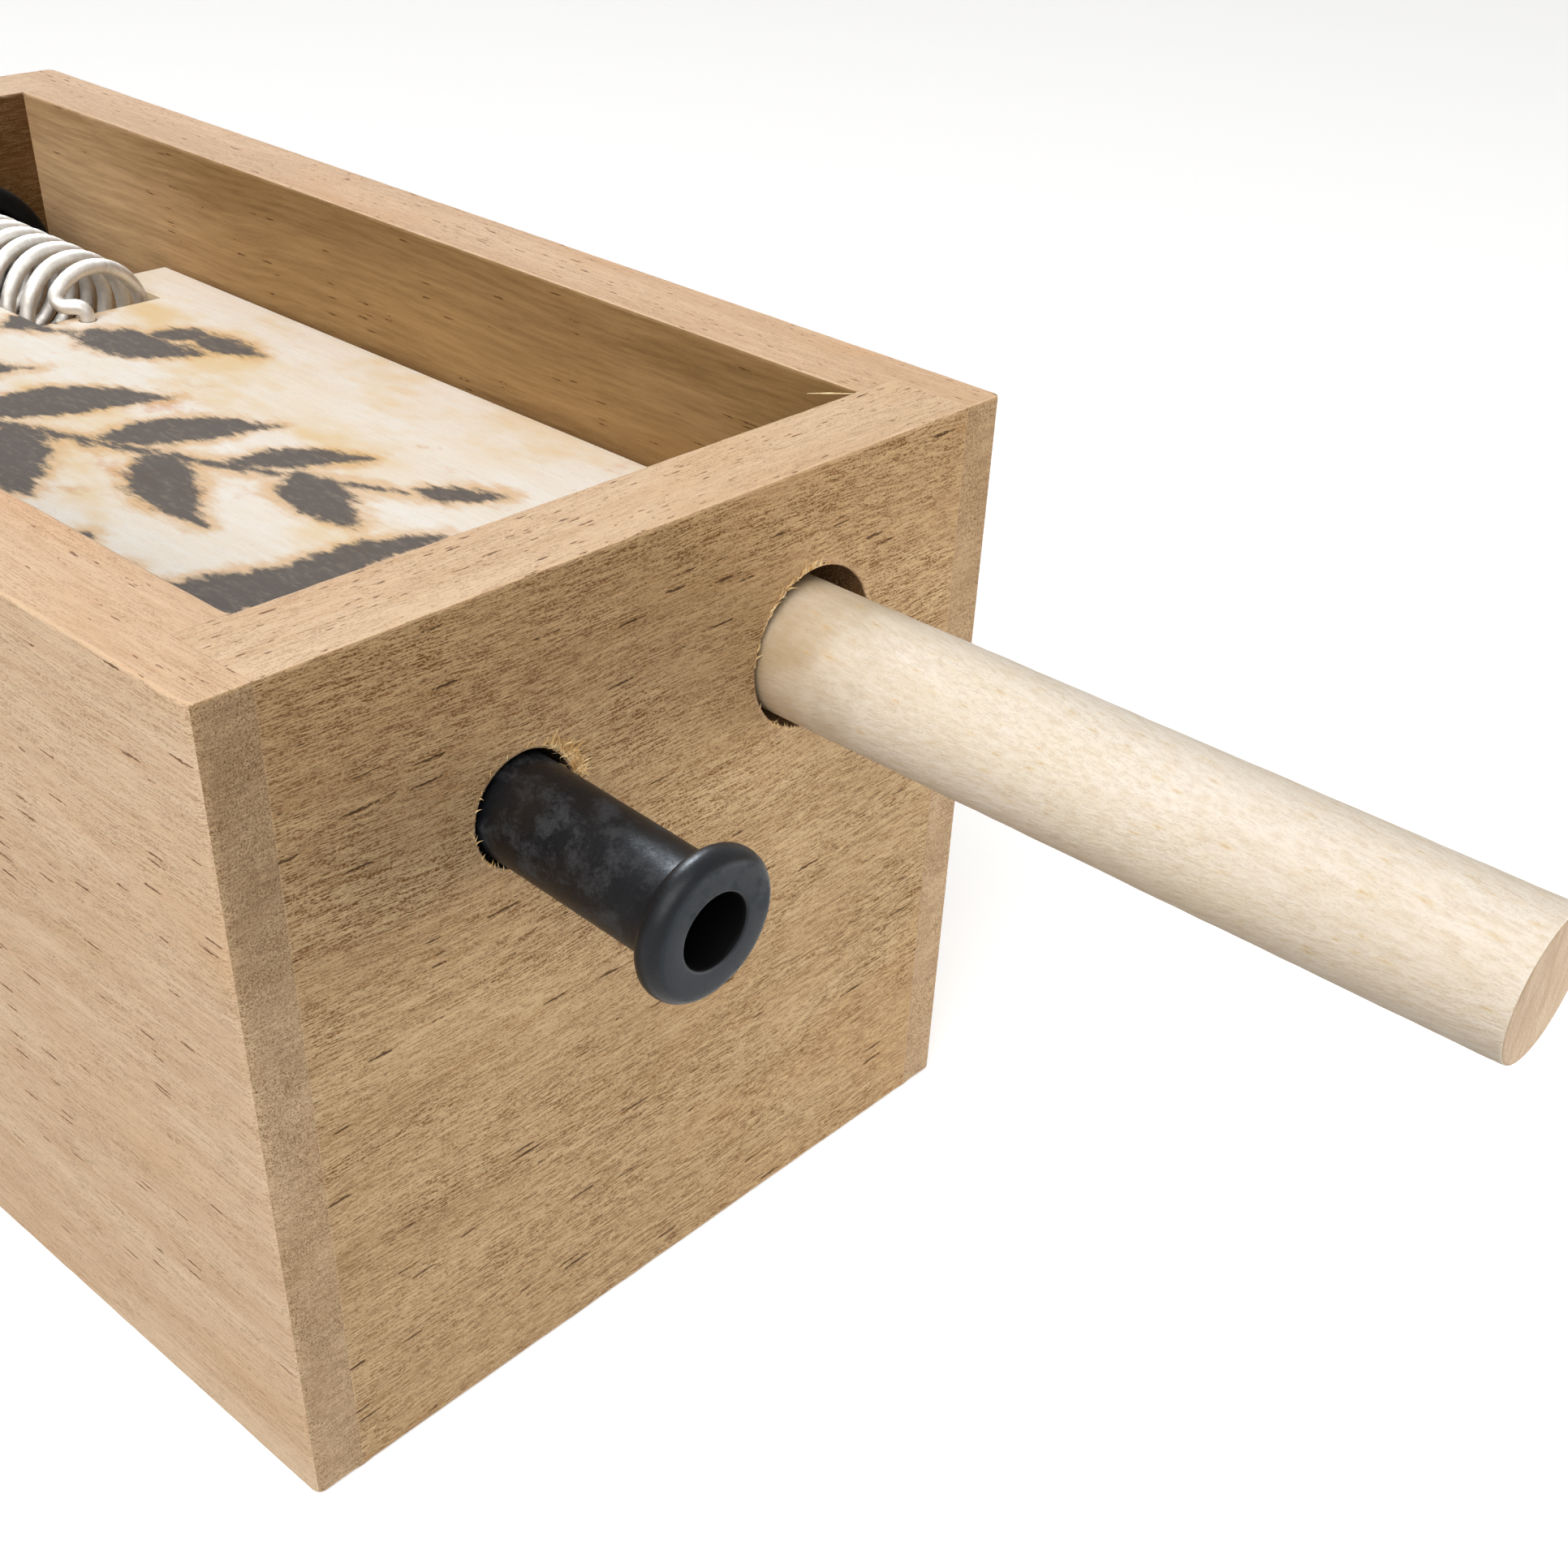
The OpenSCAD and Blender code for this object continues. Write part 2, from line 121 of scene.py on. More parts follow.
def node(tree, kind, inputs=None, **settings):
    """A new node with its settings and inputs."""
    made = tree.nodes.new(kind)
    for key, value in settings.items():
        setattr(made, key, value)
    feed(tree, made, inputs or {})
    return made


def calc(tree, operation, a, b=0.0, clamp=False):
    """The result of one sum of two numbers."""
    return node(tree, "ShaderNodeMath", {0: a, 1: b}, operation=operation, use_clamp=clamp).outputs[0]


def times(tree, a, b):
    """One number by another."""
    return calc(tree, "MULTIPLY", a, b)


def plus(tree, a, b):
    """One number and another."""
    return calc(tree, "ADD", a, b)


def rise(tree, value, low, high, bottom=0.0, top=1.0):
    """A smooth step of value from low to high."""
    return node(tree, "ShaderNodeMapRange", {"Value": value, "From Min": low, "From Max": high,
                                             "To Min": bottom, "To Max": top},
                interpolation_type="SMOOTHSTEP").outputs[0]


def tint(tree, share, a, b, mode="MIX"):
    """Colour a laid over with colour b by the given share."""
    return node(tree, "ShaderNodeMix", {0: share, 6: a, 7: b}, data_type="RGBA", blend_type=mode).outputs[2]


def wash(tree, colour, mask, share, code):
    """A colour laid over with paint where a mask is 1, by the given share."""
    return tint(tree, times(tree, mask, share), colour, paint(code))


def finish(name):
    """A new material, its node tree and its shader."""
    made = bpy.data.materials.new(name)
    made.use_nodes = True
    return made, made.node_tree, made.node_tree.nodes["Principled BSDF"]


def surface(tree, shader, colour, roughness, shine, height=None, strength=0.5, distance=0.00012):
    """Sets a shader's colour, its roughness, how much it mirrors and its fine relief."""
    values = {"Base Color": colour, "Roughness": roughness, "Specular IOR Level": shine}
    if height:
        values["Normal"] = node(tree, "ShaderNodeBump", {
            "Height": height, "Strength": strength, "Distance": distance}).outputs[0]
    feed(tree, shader, values)


surround = bpy.data.worlds.new("surround")
surround.use_nodes = True
scene.world = surround
tree = surround.node_tree
rays = node(tree, "ShaderNodeLightPath").outputs
mirrored = calc(tree, "MAXIMUM", rays["Is Glossy Ray"], rays["Is Transmission Ray"])
seen = calc(tree, "MAXIMUM", rays["Is Camera Ray"], mirrored)
feed(tree, tree.nodes["Background"], {
    "Color": (1, 1, 1, 1), "Strength": plus(tree, times(tree, seen, 1 - SURROUND), SURROUND)})

FLOOR_REACH = 4.0
floor_mesh = bpy.data.meshes.new("floor")
floor_mesh.from_pydata([(x * FLOOR_REACH, y * FLOOR_REACH, -0.0002) for x, y in
                        ((-1, -1), (1, -1), (1, 1), (-1, 1))], [], [(0, 1, 2, 3)])
floor = bpy.data.objects.new("floor", floor_mesh)
scene.collection.objects.link(floor)
floor_paint, tree, shader = finish("floor_paint")
rays = node(tree, "ShaderNodeLightPath").outputs
seen = calc(tree, "MAXIMUM", rays["Is Camera Ray"], rays["Is Glossy Ray"])
surface(tree, shader, tint(tree, seen, paint("9a9794"), paint("f2f1ef")), 0.9, 0.0)
feed(tree, shader, {"Emission Color": (1, 1, 1, 1), "Emission Strength": times(tree, seen, 0.42)})
floor_mesh.materials.append(floor_paint)


# ---- Side panels -----------------------------------------------------------------------------
# Two boards of straight-grained cedar-like wood, planed to just under 8 mm with the grain
# along the box. Each is rabbeted at both ends, and its lip hides the end panel's end grain.

def span(name):
    """A CAD node's lowest and highest corner in millimetres."""
    low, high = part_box(name)
    return low / MM, high / MM


def group(name, takes, gives, kind="ShaderNodeTree"):
    """A group of nodes: its tree, what comes in and what goes out."""
    tree = bpy.data.node_groups.new(name, kind)
    for label, sort, value in takes:
        socket = tree.interface.new_socket(name=label, in_out="INPUT", socket_type=sort)
        if value is not None:
            socket.default_value = value
    for label, sort in gives:
        tree.interface.new_socket(name=label, in_out="OUTPUT", socket_type=sort)
    return tree, tree.nodes.new("NodeGroupInput").outputs, tree.nodes.new("NodeGroupOutput").inputs


def use(tree, shared, **inputs):
    """A shared group placed in a material; its outputs."""
    return node(tree, "ShaderNodeGroup", inputs, node_tree=shared).outputs


VECTOR, FLOAT, COLOUR = "NodeSocketVector", "NodeSocketFloat", "NodeSocketColor"
WHOLE, MATERIAL = "NodeSocketInt", "NodeSocketMaterial"


def scaled(tree, vector, x, y, z):
    """Coordinates stretched by a factor along each axis."""
    return node(tree, "ShaderNodeVectorMath", {0: vector, 1: (x, y, z)}, operation="MULTIPLY").outputs[0]


def pushed(tree, vector, by, x, y, z):
    """Coordinates moved by a noise colour times a reach along each axis."""
    return node(tree, "ShaderNodeVectorMath", {0: by, 1: (x, y, z), 2: vector},
                operation="MULTIPLY_ADD").outputs[0]


def cloud(tree, vector, scale=1.0, detail=2.0, roughness=0.5, colour=False):
    """Noise at the given coordinates, as a number or as a colour. A scale of three numbers stretches
    the coordinates along each axis."""
    if isinstance(scale, tuple):
        vector, scale = scaled(tree, vector, *scale), 1.0
    made = node(tree, "ShaderNodeTexNoise", {"Vector": vector, "Scale": scale, "Detail": detail,
                                             "Roughness": roughness})
    return made.outputs["Color" if colour else "Fac"]


def laid(tree, turn=(0, 0, 0), offset=(0, 0, 0)):
    """The piece's own coordinates, turned so that the pattern's X runs along its grain."""
    return node(tree, "ShaderNodeMapping", {"Vector": node(tree, "ShaderNodeTexCoord").outputs["Object"],
                "Rotation": [math.radians(a) for a in turn],
                "Location": [c * MM for c in offset]}).outputs[0]


def place_along(tree, axis):
    """How far along one of the box's axes a point of the piece lies, in metres."""
    where = node(tree, "ShaderNodeTexCoord").outputs["Object"]
    return node(tree, "ShaderNodeSeparateXYZ", {0: where}).outputs[axis]


# Long grain: the vector's X runs along the fibres. Bands are the growth rings, and the fuzz is the
# short fibre that the saw tore up: golden where it stands, dark where it left a gap.
grain, takes, gives = group("long_grain", [
    ("Vector", VECTOR, None), ("Light", COLOUR, paint("dcb68e")), ("Dark", COLOUR, paint("b88d62")),
    ("Warm", COLOUR, paint("d69c63")), ("Warmth", FLOAT, 0.3), ("Fuzz", FLOAT, 0.5)],
    [("Color", COLOUR), ("Height", FLOAT)])
sway = cloud(grain, takes["Vector"], (22, 26, 26), colour=True)
swayed = pushed(grain, takes["Vector"], sway, 0.0, 0.004, 0.004)
curl = cloud(grain, takes["Vector"], (800, 800, 800), colour=True)
curled = pushed(grain, swayed, curl, 0.0003, 0.0002, 0.0002)
bands = cloud(grain, swayed, (14, 210, 210), detail=5, roughness=0.62)
fibres = cloud(grain, swayed, (130, 2300, 2300), detail=3, roughness=0.6)
patches = cloud(grain, takes["Vector"], (45, 90, 90), detail=3)
ridges = cloud(grain, curled, (540, 8600, 8600), roughness=0.55)
grit = cloud(grain, curled, (4600, 9400, 9400), detail=1, roughness=0.6)
fuzz = plus(grain, times(grain, rise(grain, ridges, 0.34, 0.66), 0.58),
            times(grain, rise(grain, grit, 0.34, 0.66), 0.42))
thick = rise(grain, cloud(grain, takes["Vector"], (110, 260, 260)), 0.3, 0.66, 0.55, 1.0)
strength = times(grain, thick, takes["Fuzz"])
tone = calc(grain, "ADD", times(grain, rise(grain, bands, 0.3, 0.72), 0.55),
            times(grain, rise(grain, fibres, 0.25, 0.75), 0.45), clamp=True)
body = tint(grain, tone, takes["Dark"], takes["Light"])
warmth = times(grain, rise(grain, patches, 0.48, 0.72), takes["Warmth"])
body = tint(grain, warmth, body, takes["Warm"])
gap = times(grain, rise(grain, fuzz, 0.5, 0.1), strength)
tip = times(grain, rise(grain, fuzz, 0.5, 0.9, 0, 0.45), strength)
body = tint(grain, gap, body, paint("a38a6a"), mode="MULTIPLY")
grain.links.new(tint(grain, tip, body, paint("f0d6a6")), gives["Color"])
grain.links.new(plus(grain, times(grain, fibres, 0.5), times(grain, fuzz, strength)), gives["Height"])

# Open pores: short dark dashes along the fibres, gathered in rows and broken up by torn fibre.
pores, takes, gives = group("open_pores", [
    ("Vector", VECTOR, None), ("Length", FLOAT, 0.004), ("Width", FLOAT, 0.0005), ("Share", FLOAT, 0.3)],
    [("Mask", FLOAT), ("Stain", FLOAT)])
ragged = cloud(pores, takes["Vector"], (1300, 3600, 3600), colour=True)
shaken = pushed(pores, takes["Vector"], ragged, 0.0009, 0.00016, 0.00016)
cell = node(pores, "ShaderNodeCombineXYZ", {"X": takes["Length"], "Y": takes["Width"],
                                            "Z": takes["Width"]}).outputs[0]
cells = node(pores, "ShaderNodeTexVoronoi", {"Scale": 1.0, "Vector": node(
    pores, "ShaderNodeVectorMath", {0: shaken, 1: cell}, operation="DIVIDE").outputs[0]}).outputs
rows = cloud(pores, takes["Vector"], (40, 420, 420))
chosen = times(pores, takes["Share"], rise(pores, rows, 0.40, 0.62, 0.15, 1.9))
lot = node(pores, "ShaderNodeSeparateColor", {0: cells["Color"]}).outputs
open_pore = calc(pores, "LESS_THAN", lot[0], chosen)
squared = times(pores, lot[1], lot[1])
size = plus(pores, times(pores, squared, 0.22), 0.06)
torn = times(pores, cloud(pores, takes["Vector"], (2600, 7000, 7000)), 2.0)
near = plus(pores, calc(pores, "DIVIDE", cells["Distance"], size), calc(pores, "SUBTRACT", torn, 1))
pores.links.new(times(pores, rise(pores, near, 1.1, 0.6), open_pore), gives["Mask"])
pores.links.new(times(pores, rise(pores, near, 2.8, 0.8), open_pore), gives["Stain"])

# Rubbed arrises: the "worn" attribute is 1 on the eased edges and fades into the faces.
worn, takes, gives = group("rubbed_edges", [("Vector", VECTOR, None), ("Amount", FLOAT, 0.6)],
                           [("Mask", FLOAT)])
edge = node(worn, "ShaderNodeAttribute", attribute_name="worn").outputs["Fac"]
broken = rise(worn, cloud(worn, takes["Vector"], 700, detail=3), 0.35, 0.65, 0.35, 1.0)
worn.links.new(times(worn, times(worn, edge, broken), takes["Amount"]), gives["Mask"])


def cedar(name, light, dark, warm, turn=(0, 0, 0), offset=(0, 0, 0), share=0.3, fuzz=0.5, warmth=0.3,
          pore="6b4a30", length=4.8, relief=1.0, saw=0.0, edge="e9c9a6", painted_shade=None):
    """The panels' wood. turn lays the grain along X of the pattern, offset picks another board, and
    painted_shade is an axis, two places along it and the colour that deepens the wood past the
    second, a painted shade that stands in for light falling off."""
    made, tree, shader = finish(name)
    vector = laid(tree, turn, offset)
    figure = use(tree, grain, Vector=vector, Light=paint(light), Dark=paint(dark), Warm=paint(warm),
                 Warmth=warmth, Fuzz=fuzz)
    dashes = use(tree, pores, Vector=vector, Length=length * MM, Width=0.00042, Share=share)
    short = use(tree, pores, Vector=scaled(tree, vector, 1.7, 1.6, 1.6), Length=length * MM, Width=0.0004,
                Share=share)
    rubbed = use(tree, worn, Vector=vector, Amount=0.45)
    mask = calc(tree, "MAXIMUM", dashes["Mask"], short["Mask"])
    halo = calc(tree, "MAXIMUM", dashes["Stain"], short["Stain"])
    colour = wash(tree, figure["Color"], halo, 0.3, warm)
    colour = tint(tree, rubbed["Mask"], colour, paint(edge))
    colour = wash(tree, colour, mask, 0.85, pore)
    height = calc(tree, "SUBTRACT", figure["Height"], times(tree, mask, 2.2))
    if saw:
        marks = cloud(tree, vector, (0, 350, 5200), roughness=0.7)
        colour = wash(tree, colour, rise(tree, marks, 0.4, 0.7), saw, pore)
        height = plus(tree, height, marks)
    # Painted shade: the wood darkens along one axis, standing in for light that falls off.
    if painted_shade:
        axis, low, high, shade_colour = painted_shade
        shade_share = rise(tree, place_along(tree, axis), low * MM, high * MM)
        colour = tint(tree, shade_share, colour, paint(shade_colour), mode="MULTIPLY")
    surface(tree, shader, colour, rise(tree, figure["Height"], -0.5, 1.2, 0.78, 0.6), 0.1, height,
            0.55 * relief)
    return made


def straight(point, inward):
    """A point of an outline, as a function that moves it a distance into the wood."""
    return lambda distance: point + inward * distance


def rounded(corners, step=1.6):
    """A closed outline, anticlockwise, through corners (u, v, radius), as functions that give each
    point moved a distance into the wood. A corner of radius 0 is one mitred point."""
    outline, ends = [], []
    count = len(corners)
    for i, (u, v, radius) in enumerate(corners):
        here = Vector((u, v))
        back = (Vector(corners[i - 1][:2]) - here).normalized()
        ahead = (Vector(corners[(i + 1) % count][:2]) - here).normalized()
        outward = Vector((ahead.y, -ahead.x))
        if not radius:
            left = Vector((-ahead.y, ahead.x))
            mitre = left + Vector((back.y, -back.x))
            mitre *= 2 / mitre.length_squared
            ends.append((here, [straight(here, mitre)], here))
            continue
        cut = radius / math.tan(math.acos(max(-1, min(1, back.dot(ahead)))) / 2)
        centre = here + (back + ahead).normalized() * math.hypot(radius, cut)
        start, stop = here + back * cut - centre, here + ahead * cut - centre
        turn = math.atan2(start.x * stop.y - start.y * stop.x, start.dot(stop))
        arc = [Matrix.Rotation(turn * k / 4, 2) @ start for k in range(5)]
        side = -1 if stop.dot(outward) > 0 else 1
        corner = [straight(centre + s, side * s.normalized()) for s in arc]
        ends.append((centre + start, corner, centre + stop))
    for i, (_, points, leave) in enumerate(ends):
        outline += points
        arrive = ends[(i + 1) % count][0]
        run = arrive - leave
        inward = Vector((-run.y, run.x)).normalized()
        pieces = max(1, math.ceil(run.length / step))
        outline += [straight(leave.lerp(arrive, k / pieces), inward) for k in range(1, pieces)]
    return outline


def circle(u, v, radius, count):
    """A clockwise hole outline."""
    angles = [-2 * math.pi * k / count for k in range(count)]
    spokes = [Vector((math.cos(a), math.sin(a))) for a in angles]
    return [straight(Vector((u, v)) + s * radius, s) for s in spokes]


FLAT = 0.12


def slab(loops, low, high, ease, place, tear=None):
    """A closed solid between two faces. loops are its outline and its holes, ease(u, v, loop, face) is
    the radius that the arris is rubbed to there, tear adds ragged loss at a face, and
    place(u, v, t) puts a point into the piece."""
    made = bmesh.new()
    wear = made.verts.layers.float.new("worn")
    quarter = [math.pi / 2 * k / 4 for k in range(5)]
    caps = ([], [])
    for index, loop in enumerate(loops):
        count = len(loop)
        edge_points = [point(0) for point in loop]
        halves = []
        for face, sign, edge in ((0, 1, low), (1, -1, high)):
            radius = [ease(p.x, p.y, index, face) for p in edge_points]
            loss = [tear(p.x, p.y, index, face) if tear else 0.0 for p in edge_points]
            rings = [[(point(r + t + FLAT), edge, 0.0) for point, r, t in zip(loop, radius, loss)]]
            for angle in reversed(quarter):
                rings.append([(point(r * (1 - math.cos(angle)) + t * math.sin(angle) ** 2),
                               edge + sign * r * (1 - math.sin(angle)), 1.0)
                              for point, r, t in zip(loop, radius, loss)])
            rings.append([(p, edge + sign * (r + FLAT), 0.0) for p, r in zip(edge_points, radius)])
            halves.append(rings)
        grid = []
        for ring in halves[0] + halves[1][::-1]:
            row = [made.verts.new(Vector(place(point.x, point.y, t)) * MM) for point, t, _ in ring]
            for vertex, (_, _, rub) in zip(row, ring):
                vertex[wear] = rub
            grid.append(row)
        for lower, upper in zip(grid, grid[1:]):
            for i in range(count):
                j = (i + 1) % count
                made.faces.new((lower[i], lower[j], upper[j], upper[i]))
        caps[0].append(grid[0])
        caps[1].append(grid[-1])
    for cap in caps:
        edges = [made.edges.get((row[i], row[(i + 1) % len(row)])) for row in cap for i in range(len(row))]
        bmesh.ops.triangle_fill(made, edges=edges, use_beauty=True, use_dissolve=False)
    bmesh.ops.recalc_face_normals(made, faces=made.faces)
    return made


def smoothed(mesh, crease):
    """Shades a mesh smooth, but for creases sharper than an angle in degrees."""
    mesh.shade_smooth()
    mesh.set_sharp_from_angle(angle=math.radians(crease))


def piece(name, made, *finishes, pick=None, crease=35):
    """The finished object of a mesh. pick(centre, normal) chooses each face's finish."""
    mesh = bpy.data.meshes.new(name)
    if pick:
        for face in made.faces:
            face.material_index = pick(face.calc_center_median() / MM, face.normal)
    made.to_mesh(mesh)
    made.free()
    smoothed(mesh, crease)
    for one in finishes:
        mesh.materials.append(one)
    made_object = bpy.data.objects.new(name, mesh)
    scene.collection.objects.link(made_object)
    return made_object


def waver(seed, pitch, *place):
    """Smooth chance between -1 and 1 that changes over about pitch millimetres."""
    where = Vector(place + (0,) * (3 - len(place)))
    return noise.noise(where / pitch + Vector((seed * 7.3, seed * 3.1, seed)))


front_low, front_high = span("end_panel_front")
side_low, side_high = span("side_panel_right")
END = side_high.x
INNER_END = front_low.x
INNER_SIDE = side_low.y
LIP_SIDE = front_high.y
HEIGHT = side_high.z
EASED = 0.20
JOINT = 0.05

side_face = cedar("side_face", "eed4b5", "d3b18e", "e2b48c", share=0.16, warmth=0.35)
rim_face = cedar("rim_face", "ecc9a4", "d2a881", "e2ae7e", offset=(3, 11, 5), share=0.42, fuzz=0.35,
                 warmth=0.5, pore="7c5237", relief=0.9, length=2.6)
# Inner walls: painted darker than the outer faces as the shade inside the tray. The painted shade along X
# keeps the far end lighter and darkens the walls towards the near end.
inner_face_shaded = cedar("inner_face_shaded", "dcb68a", "9e7b57", "ba8f60", offset=(7, 2, 1), share=0.10, fuzz=0.12,
                   painted_shade=("X", -57, -15, "c0b9a4"), relief=0.7)
# Painted shade: the lips' end grain darkens towards the top.
strip_face = cedar("strip_face", "dcbf9d", "b59775", "c5a27a", offset=(1, 5, 2), share=0.20, fuzz=0.8,
                   painted_shade=("Z", 25, 66, "e4dfd6"), saw=0.28, edge="e0bd92")

side_plan = rounded([(-INNER_END, INNER_SIDE, 0), (INNER_END, INNER_SIDE, 0), (INNER_END, LIP_SIDE, 0),
                     (END, LIP_SIDE, 0), (END, side_high.y, 0.7), (-END, side_high.y, 0.7),
                     (-END, LIP_SIDE, 0), (-INNER_END, LIP_SIDE, 0)], step=0.9)


def rubbed_radius(seed, u, v):
    """How round an open arris is at a place: uneven, and now and then nearly sharp."""
    return EASED * (1 + 0.35 * waver(seed, 2.6, u, v) + 0.2 * waver(seed + 2, 0.9, u, v))


def side_ease(u, v, loop, face):
    """The joint's edges stay sharp, and the open ones are rubbed."""
    hidden = abs(u) > INNER_END - 0.2 and v < LIP_SIDE + 0.2
    return JOINT if hidden else rubbed_radius(face + 1, u, v)


def side_finish(centre, normal):
    """0 outer face, 1 rim, 2 inner wall, 3 the lips' ends."""
    if abs(normal.z) > 0.7:
        return 1
    if abs(normal.x) > 0.7:
        return 3
    return 2 if abs(centre.y) < LIP_SIDE else 0


for name, hand in (("side_panel_left", -1), ("side_panel_right", 1)):
    wood = slab([side_plan], 0, HEIGHT, side_ease, lambda u, v, t: (u, hand * v, t))
    panel = piece(name + "_wood", wood, side_face, rim_face, inner_face_shaded, strip_face, pick=side_finish)
    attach(panel, "box")
    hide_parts(name)


# ---- End panels ------------------------------------------------------------------------------
# Two boards of the same wood with the grain across the box, let in between the side panels' lips
# and glued. The front one was drilled from behind, so its two holes are torn at the front.

rod_low, rod_high = span("push_rod")
ROD_Y, ROD_Z = (rod_low.y + rod_high.y) / 2, (rod_low.z + rod_high.z) / 2
ROD_RADIUS = (rod_high.y - rod_low.y) / 2
BUTTON_Y, BUTTON_Z = -12.5, 48.1
ROD_HOLE_Y, ROD_HOLE_RADIUS = ROD_Y + 0.7, 6.1
BUTTON_HOLE_Z, BUTTON_HOLE_RADIUS = 48.22, 4.15

across = (0, 0, -90)
# Painted shade: the end panels' outer face darkens towards its top edge.
front_face = cedar("front_face", "d6b78d", "b4926b", "c49864", turn=across, offset=(5, 1, 9), share=0.34,
                   fuzz=1.0, pore="452d1b", length=5.2, relief=1.4, painted_shade=("Z", 34, 66, "eae2d8"))
front_rim = cedar("front_rim", "efcfab", "d8af87", "e2b07f", turn=across, offset=(2, 6, 4), share=0.6,
                  pore="714b30", relief=1.1, length=2.4)
# The end panels' inner faces are painted darker than their outer faces as the shade inside the box, the far
# one darkest.
front_inside_shaded = cedar("front_inside_shaded", "94704a", "765432", "8c6238", turn=across, share=0.12, fuzz=0.3)
far_inside_shaded = cedar("far_inside_shaded", "6d4d2c", "523818", "5f4122", turn=across, share=0.12, fuzz=0.3)
# The dowel's bore: torn wood painted darker as the shade inside the hole.
bore_wood_shaded = cedar("bore_wood_shaded", "8a6743", "5e432a", "6e4a2a", turn=across, fuzz=0.8, relief=1.4)
# The button's bore is painted near black as the shade in the gap round the tube.
bore_shade_black = cedar("bore_shade_black", "2b2019", "15100c", "2a1c12", turn=across, fuzz=0.8, relief=1.2)

end_outline = rounded([(-LIP_SIDE, 0, 0), (LIP_SIDE, 0, 0), (LIP_SIDE, HEIGHT, 0), (-LIP_SIDE, HEIGHT, 0)],
                      step=0.9)


def end_ease(u, v, loop, face):
    """Face 1 is the outside. Edges against the side panels stay sharp."""
    if loop:
        return 0.15
    if abs(u) > (LIP_SIDE if face else INNER_SIDE) - 0.15:
        return JOINT
    return rubbed_radius(face + 5, u, v)


def bearing(u, v, loop):
    """The angle round a hole, in degrees from +Y towards +Z."""
    y, z = ((ROD_HOLE_Y, ROD_Z), (BUTTON_Y, BUTTON_HOLE_Z))[loop - 1]
    return math.degrees(math.atan2(v - z, u - y)) % 360


def bump_at(angle, middle, width):
    """1 at the middle of a stretch of the rim, 0 past its width."""
    off = abs((angle - middle + 180) % 360 - 180) / width
    return max(0.0, 1 - off * off)


def end_tear(u, v, loop, face):
    """How far the drill tore each hole's rim at the outer face."""
    if not loop:
        return 0.0
    angle = bearing(u, v, loop)
    if not face:
        return 0.12 * (1 + waver(loop, 0.5, u, v))
    if loop == 1:
        chip = 0.9 * bump_at(angle, 238, 14) + 0.3 * bump_at(angle, 95, 30)
        jags = 0.45 * abs(waver(12, 0.33, u, v)) * (0.5 + bump_at(angle, 140, 75))
        return chip + jags + 0.1 * (1 + waver(11, 0.6, u, v))
    teeth = 0.24 * abs(waver(13, 0.28, u, v)) * (1 + bump_at(angle, 190, 80))
    return teeth + 0.08 * (1 + waver(14, 0.7, u, v)) + 0.4 * bump_at(angle, 60, 35)


def end_finish(centre, normal):
    """0 outer face, 1 rim, 2 inside, 3 the dowel's bore, 4 the button's, painted near black as shade."""
    if abs(normal.x) > 0.6:
        return 0 if normal.x * centre.x > 0 else 2
    if centre.z > HEIGHT - 1.5 or centre.z < 1.5:
        return 1
    return 3 if centre.y > 0 else 4


holes = [circle(ROD_HOLE_Y, ROD_Z, ROD_HOLE_RADIUS, 200),
         circle(BUTTON_Y, BUTTON_HOLE_Z, BUTTON_HOLE_RADIUS, 200)]
for name, side, cuts, inside in (("end_panel_front", 1, holes, front_inside_shaded),
                                 ("end_panel_back", -1, [], far_inside_shaded)):
    wood = slab([end_outline] + cuts, INNER_END, END, end_ease, lambda u, v, t: (side * t, u, v), end_tear)
    panel = piece(name + "_wood", wood, front_face, front_rim, inside, bore_wood_shaded,
                  bore_shade_black, pick=end_finish)
    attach(panel, "box")
    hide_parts(name)


# ---- Bottom panel and ledges -----------------------------------------------------------------
# The bottom is a thinner board glued in between the four panels. Two square strips glued to the
# side panels carry the sliding board's long edges.

bottom_face = cedar("bottom_face", "b08a60", "8d6a45", "9c7448", offset=(2, 2, 2), share=0.15, fuzz=0.2)
rail_face = cedar("rail_face", "d2ae82", "b18c60", "bf9562", offset=(8, 3, 5), share=0.10, fuzz=0.1)


def lengthwise(low, high):
    """The outline of a piece seen from above."""
    return rounded([(low.x, low.y, 0), (high.x, low.y, 0), (high.x, high.y, 0), (low.x, high.y, 0)],
                   step=3.0)


def drill(middle, radius, length, sides=96, way="Z"):
    """A round cutter around its middle, with its length along Z or X."""
    made = bmesh.new()
    lie = Matrix.Rotation(math.pi / 2, 4, "Y") if way == "X" else Matrix()
    bmesh.ops.create_cone(made, cap_ends=True, segments=sides, radius1=radius * MM, radius2=radius * MM,
                          depth=length * MM, matrix=Matrix.Translation(middle * MM) @ lie)
    return made


def block(made, middle, size):
    """Adds a square-edged block to a mesh."""
    bmesh.ops.create_cube(made, size=1, matrix=Matrix.Translation(middle * MM)
                          @ Matrix.Diagonal([c * MM for c in size] + [1]))
    return made


def carved(board, cutters):
    """Takes the cutters away from a piece and leaves it a plain mesh."""
    tools = [piece("cutter", one) for one in cutters]
    for tool in tools:
        cut = board.modifiers.new("cut", "BOOLEAN")
        cut.object = tool
        cut.solver = "EXACT"
    bpy.context.view_layer.update()
    solid = bpy.data.meshes.new_from_object(board.evaluated_get(bpy.context.evaluated_depsgraph_get()))
    board.modifiers.clear()
    board.data = solid
    for tool in tools:
        bpy.data.objects.remove(tool)


def refinished(mesh, finishes, crease, second):
    """Gives a carved mesh its two finishes; second(face) picks the faces with the second one."""
    mesh.materials.clear()
    for one in finishes:
        mesh.materials.append(one)
    for face in mesh.polygons:
        face.material_index = int(second(face))
    smoothed(mesh, crease)


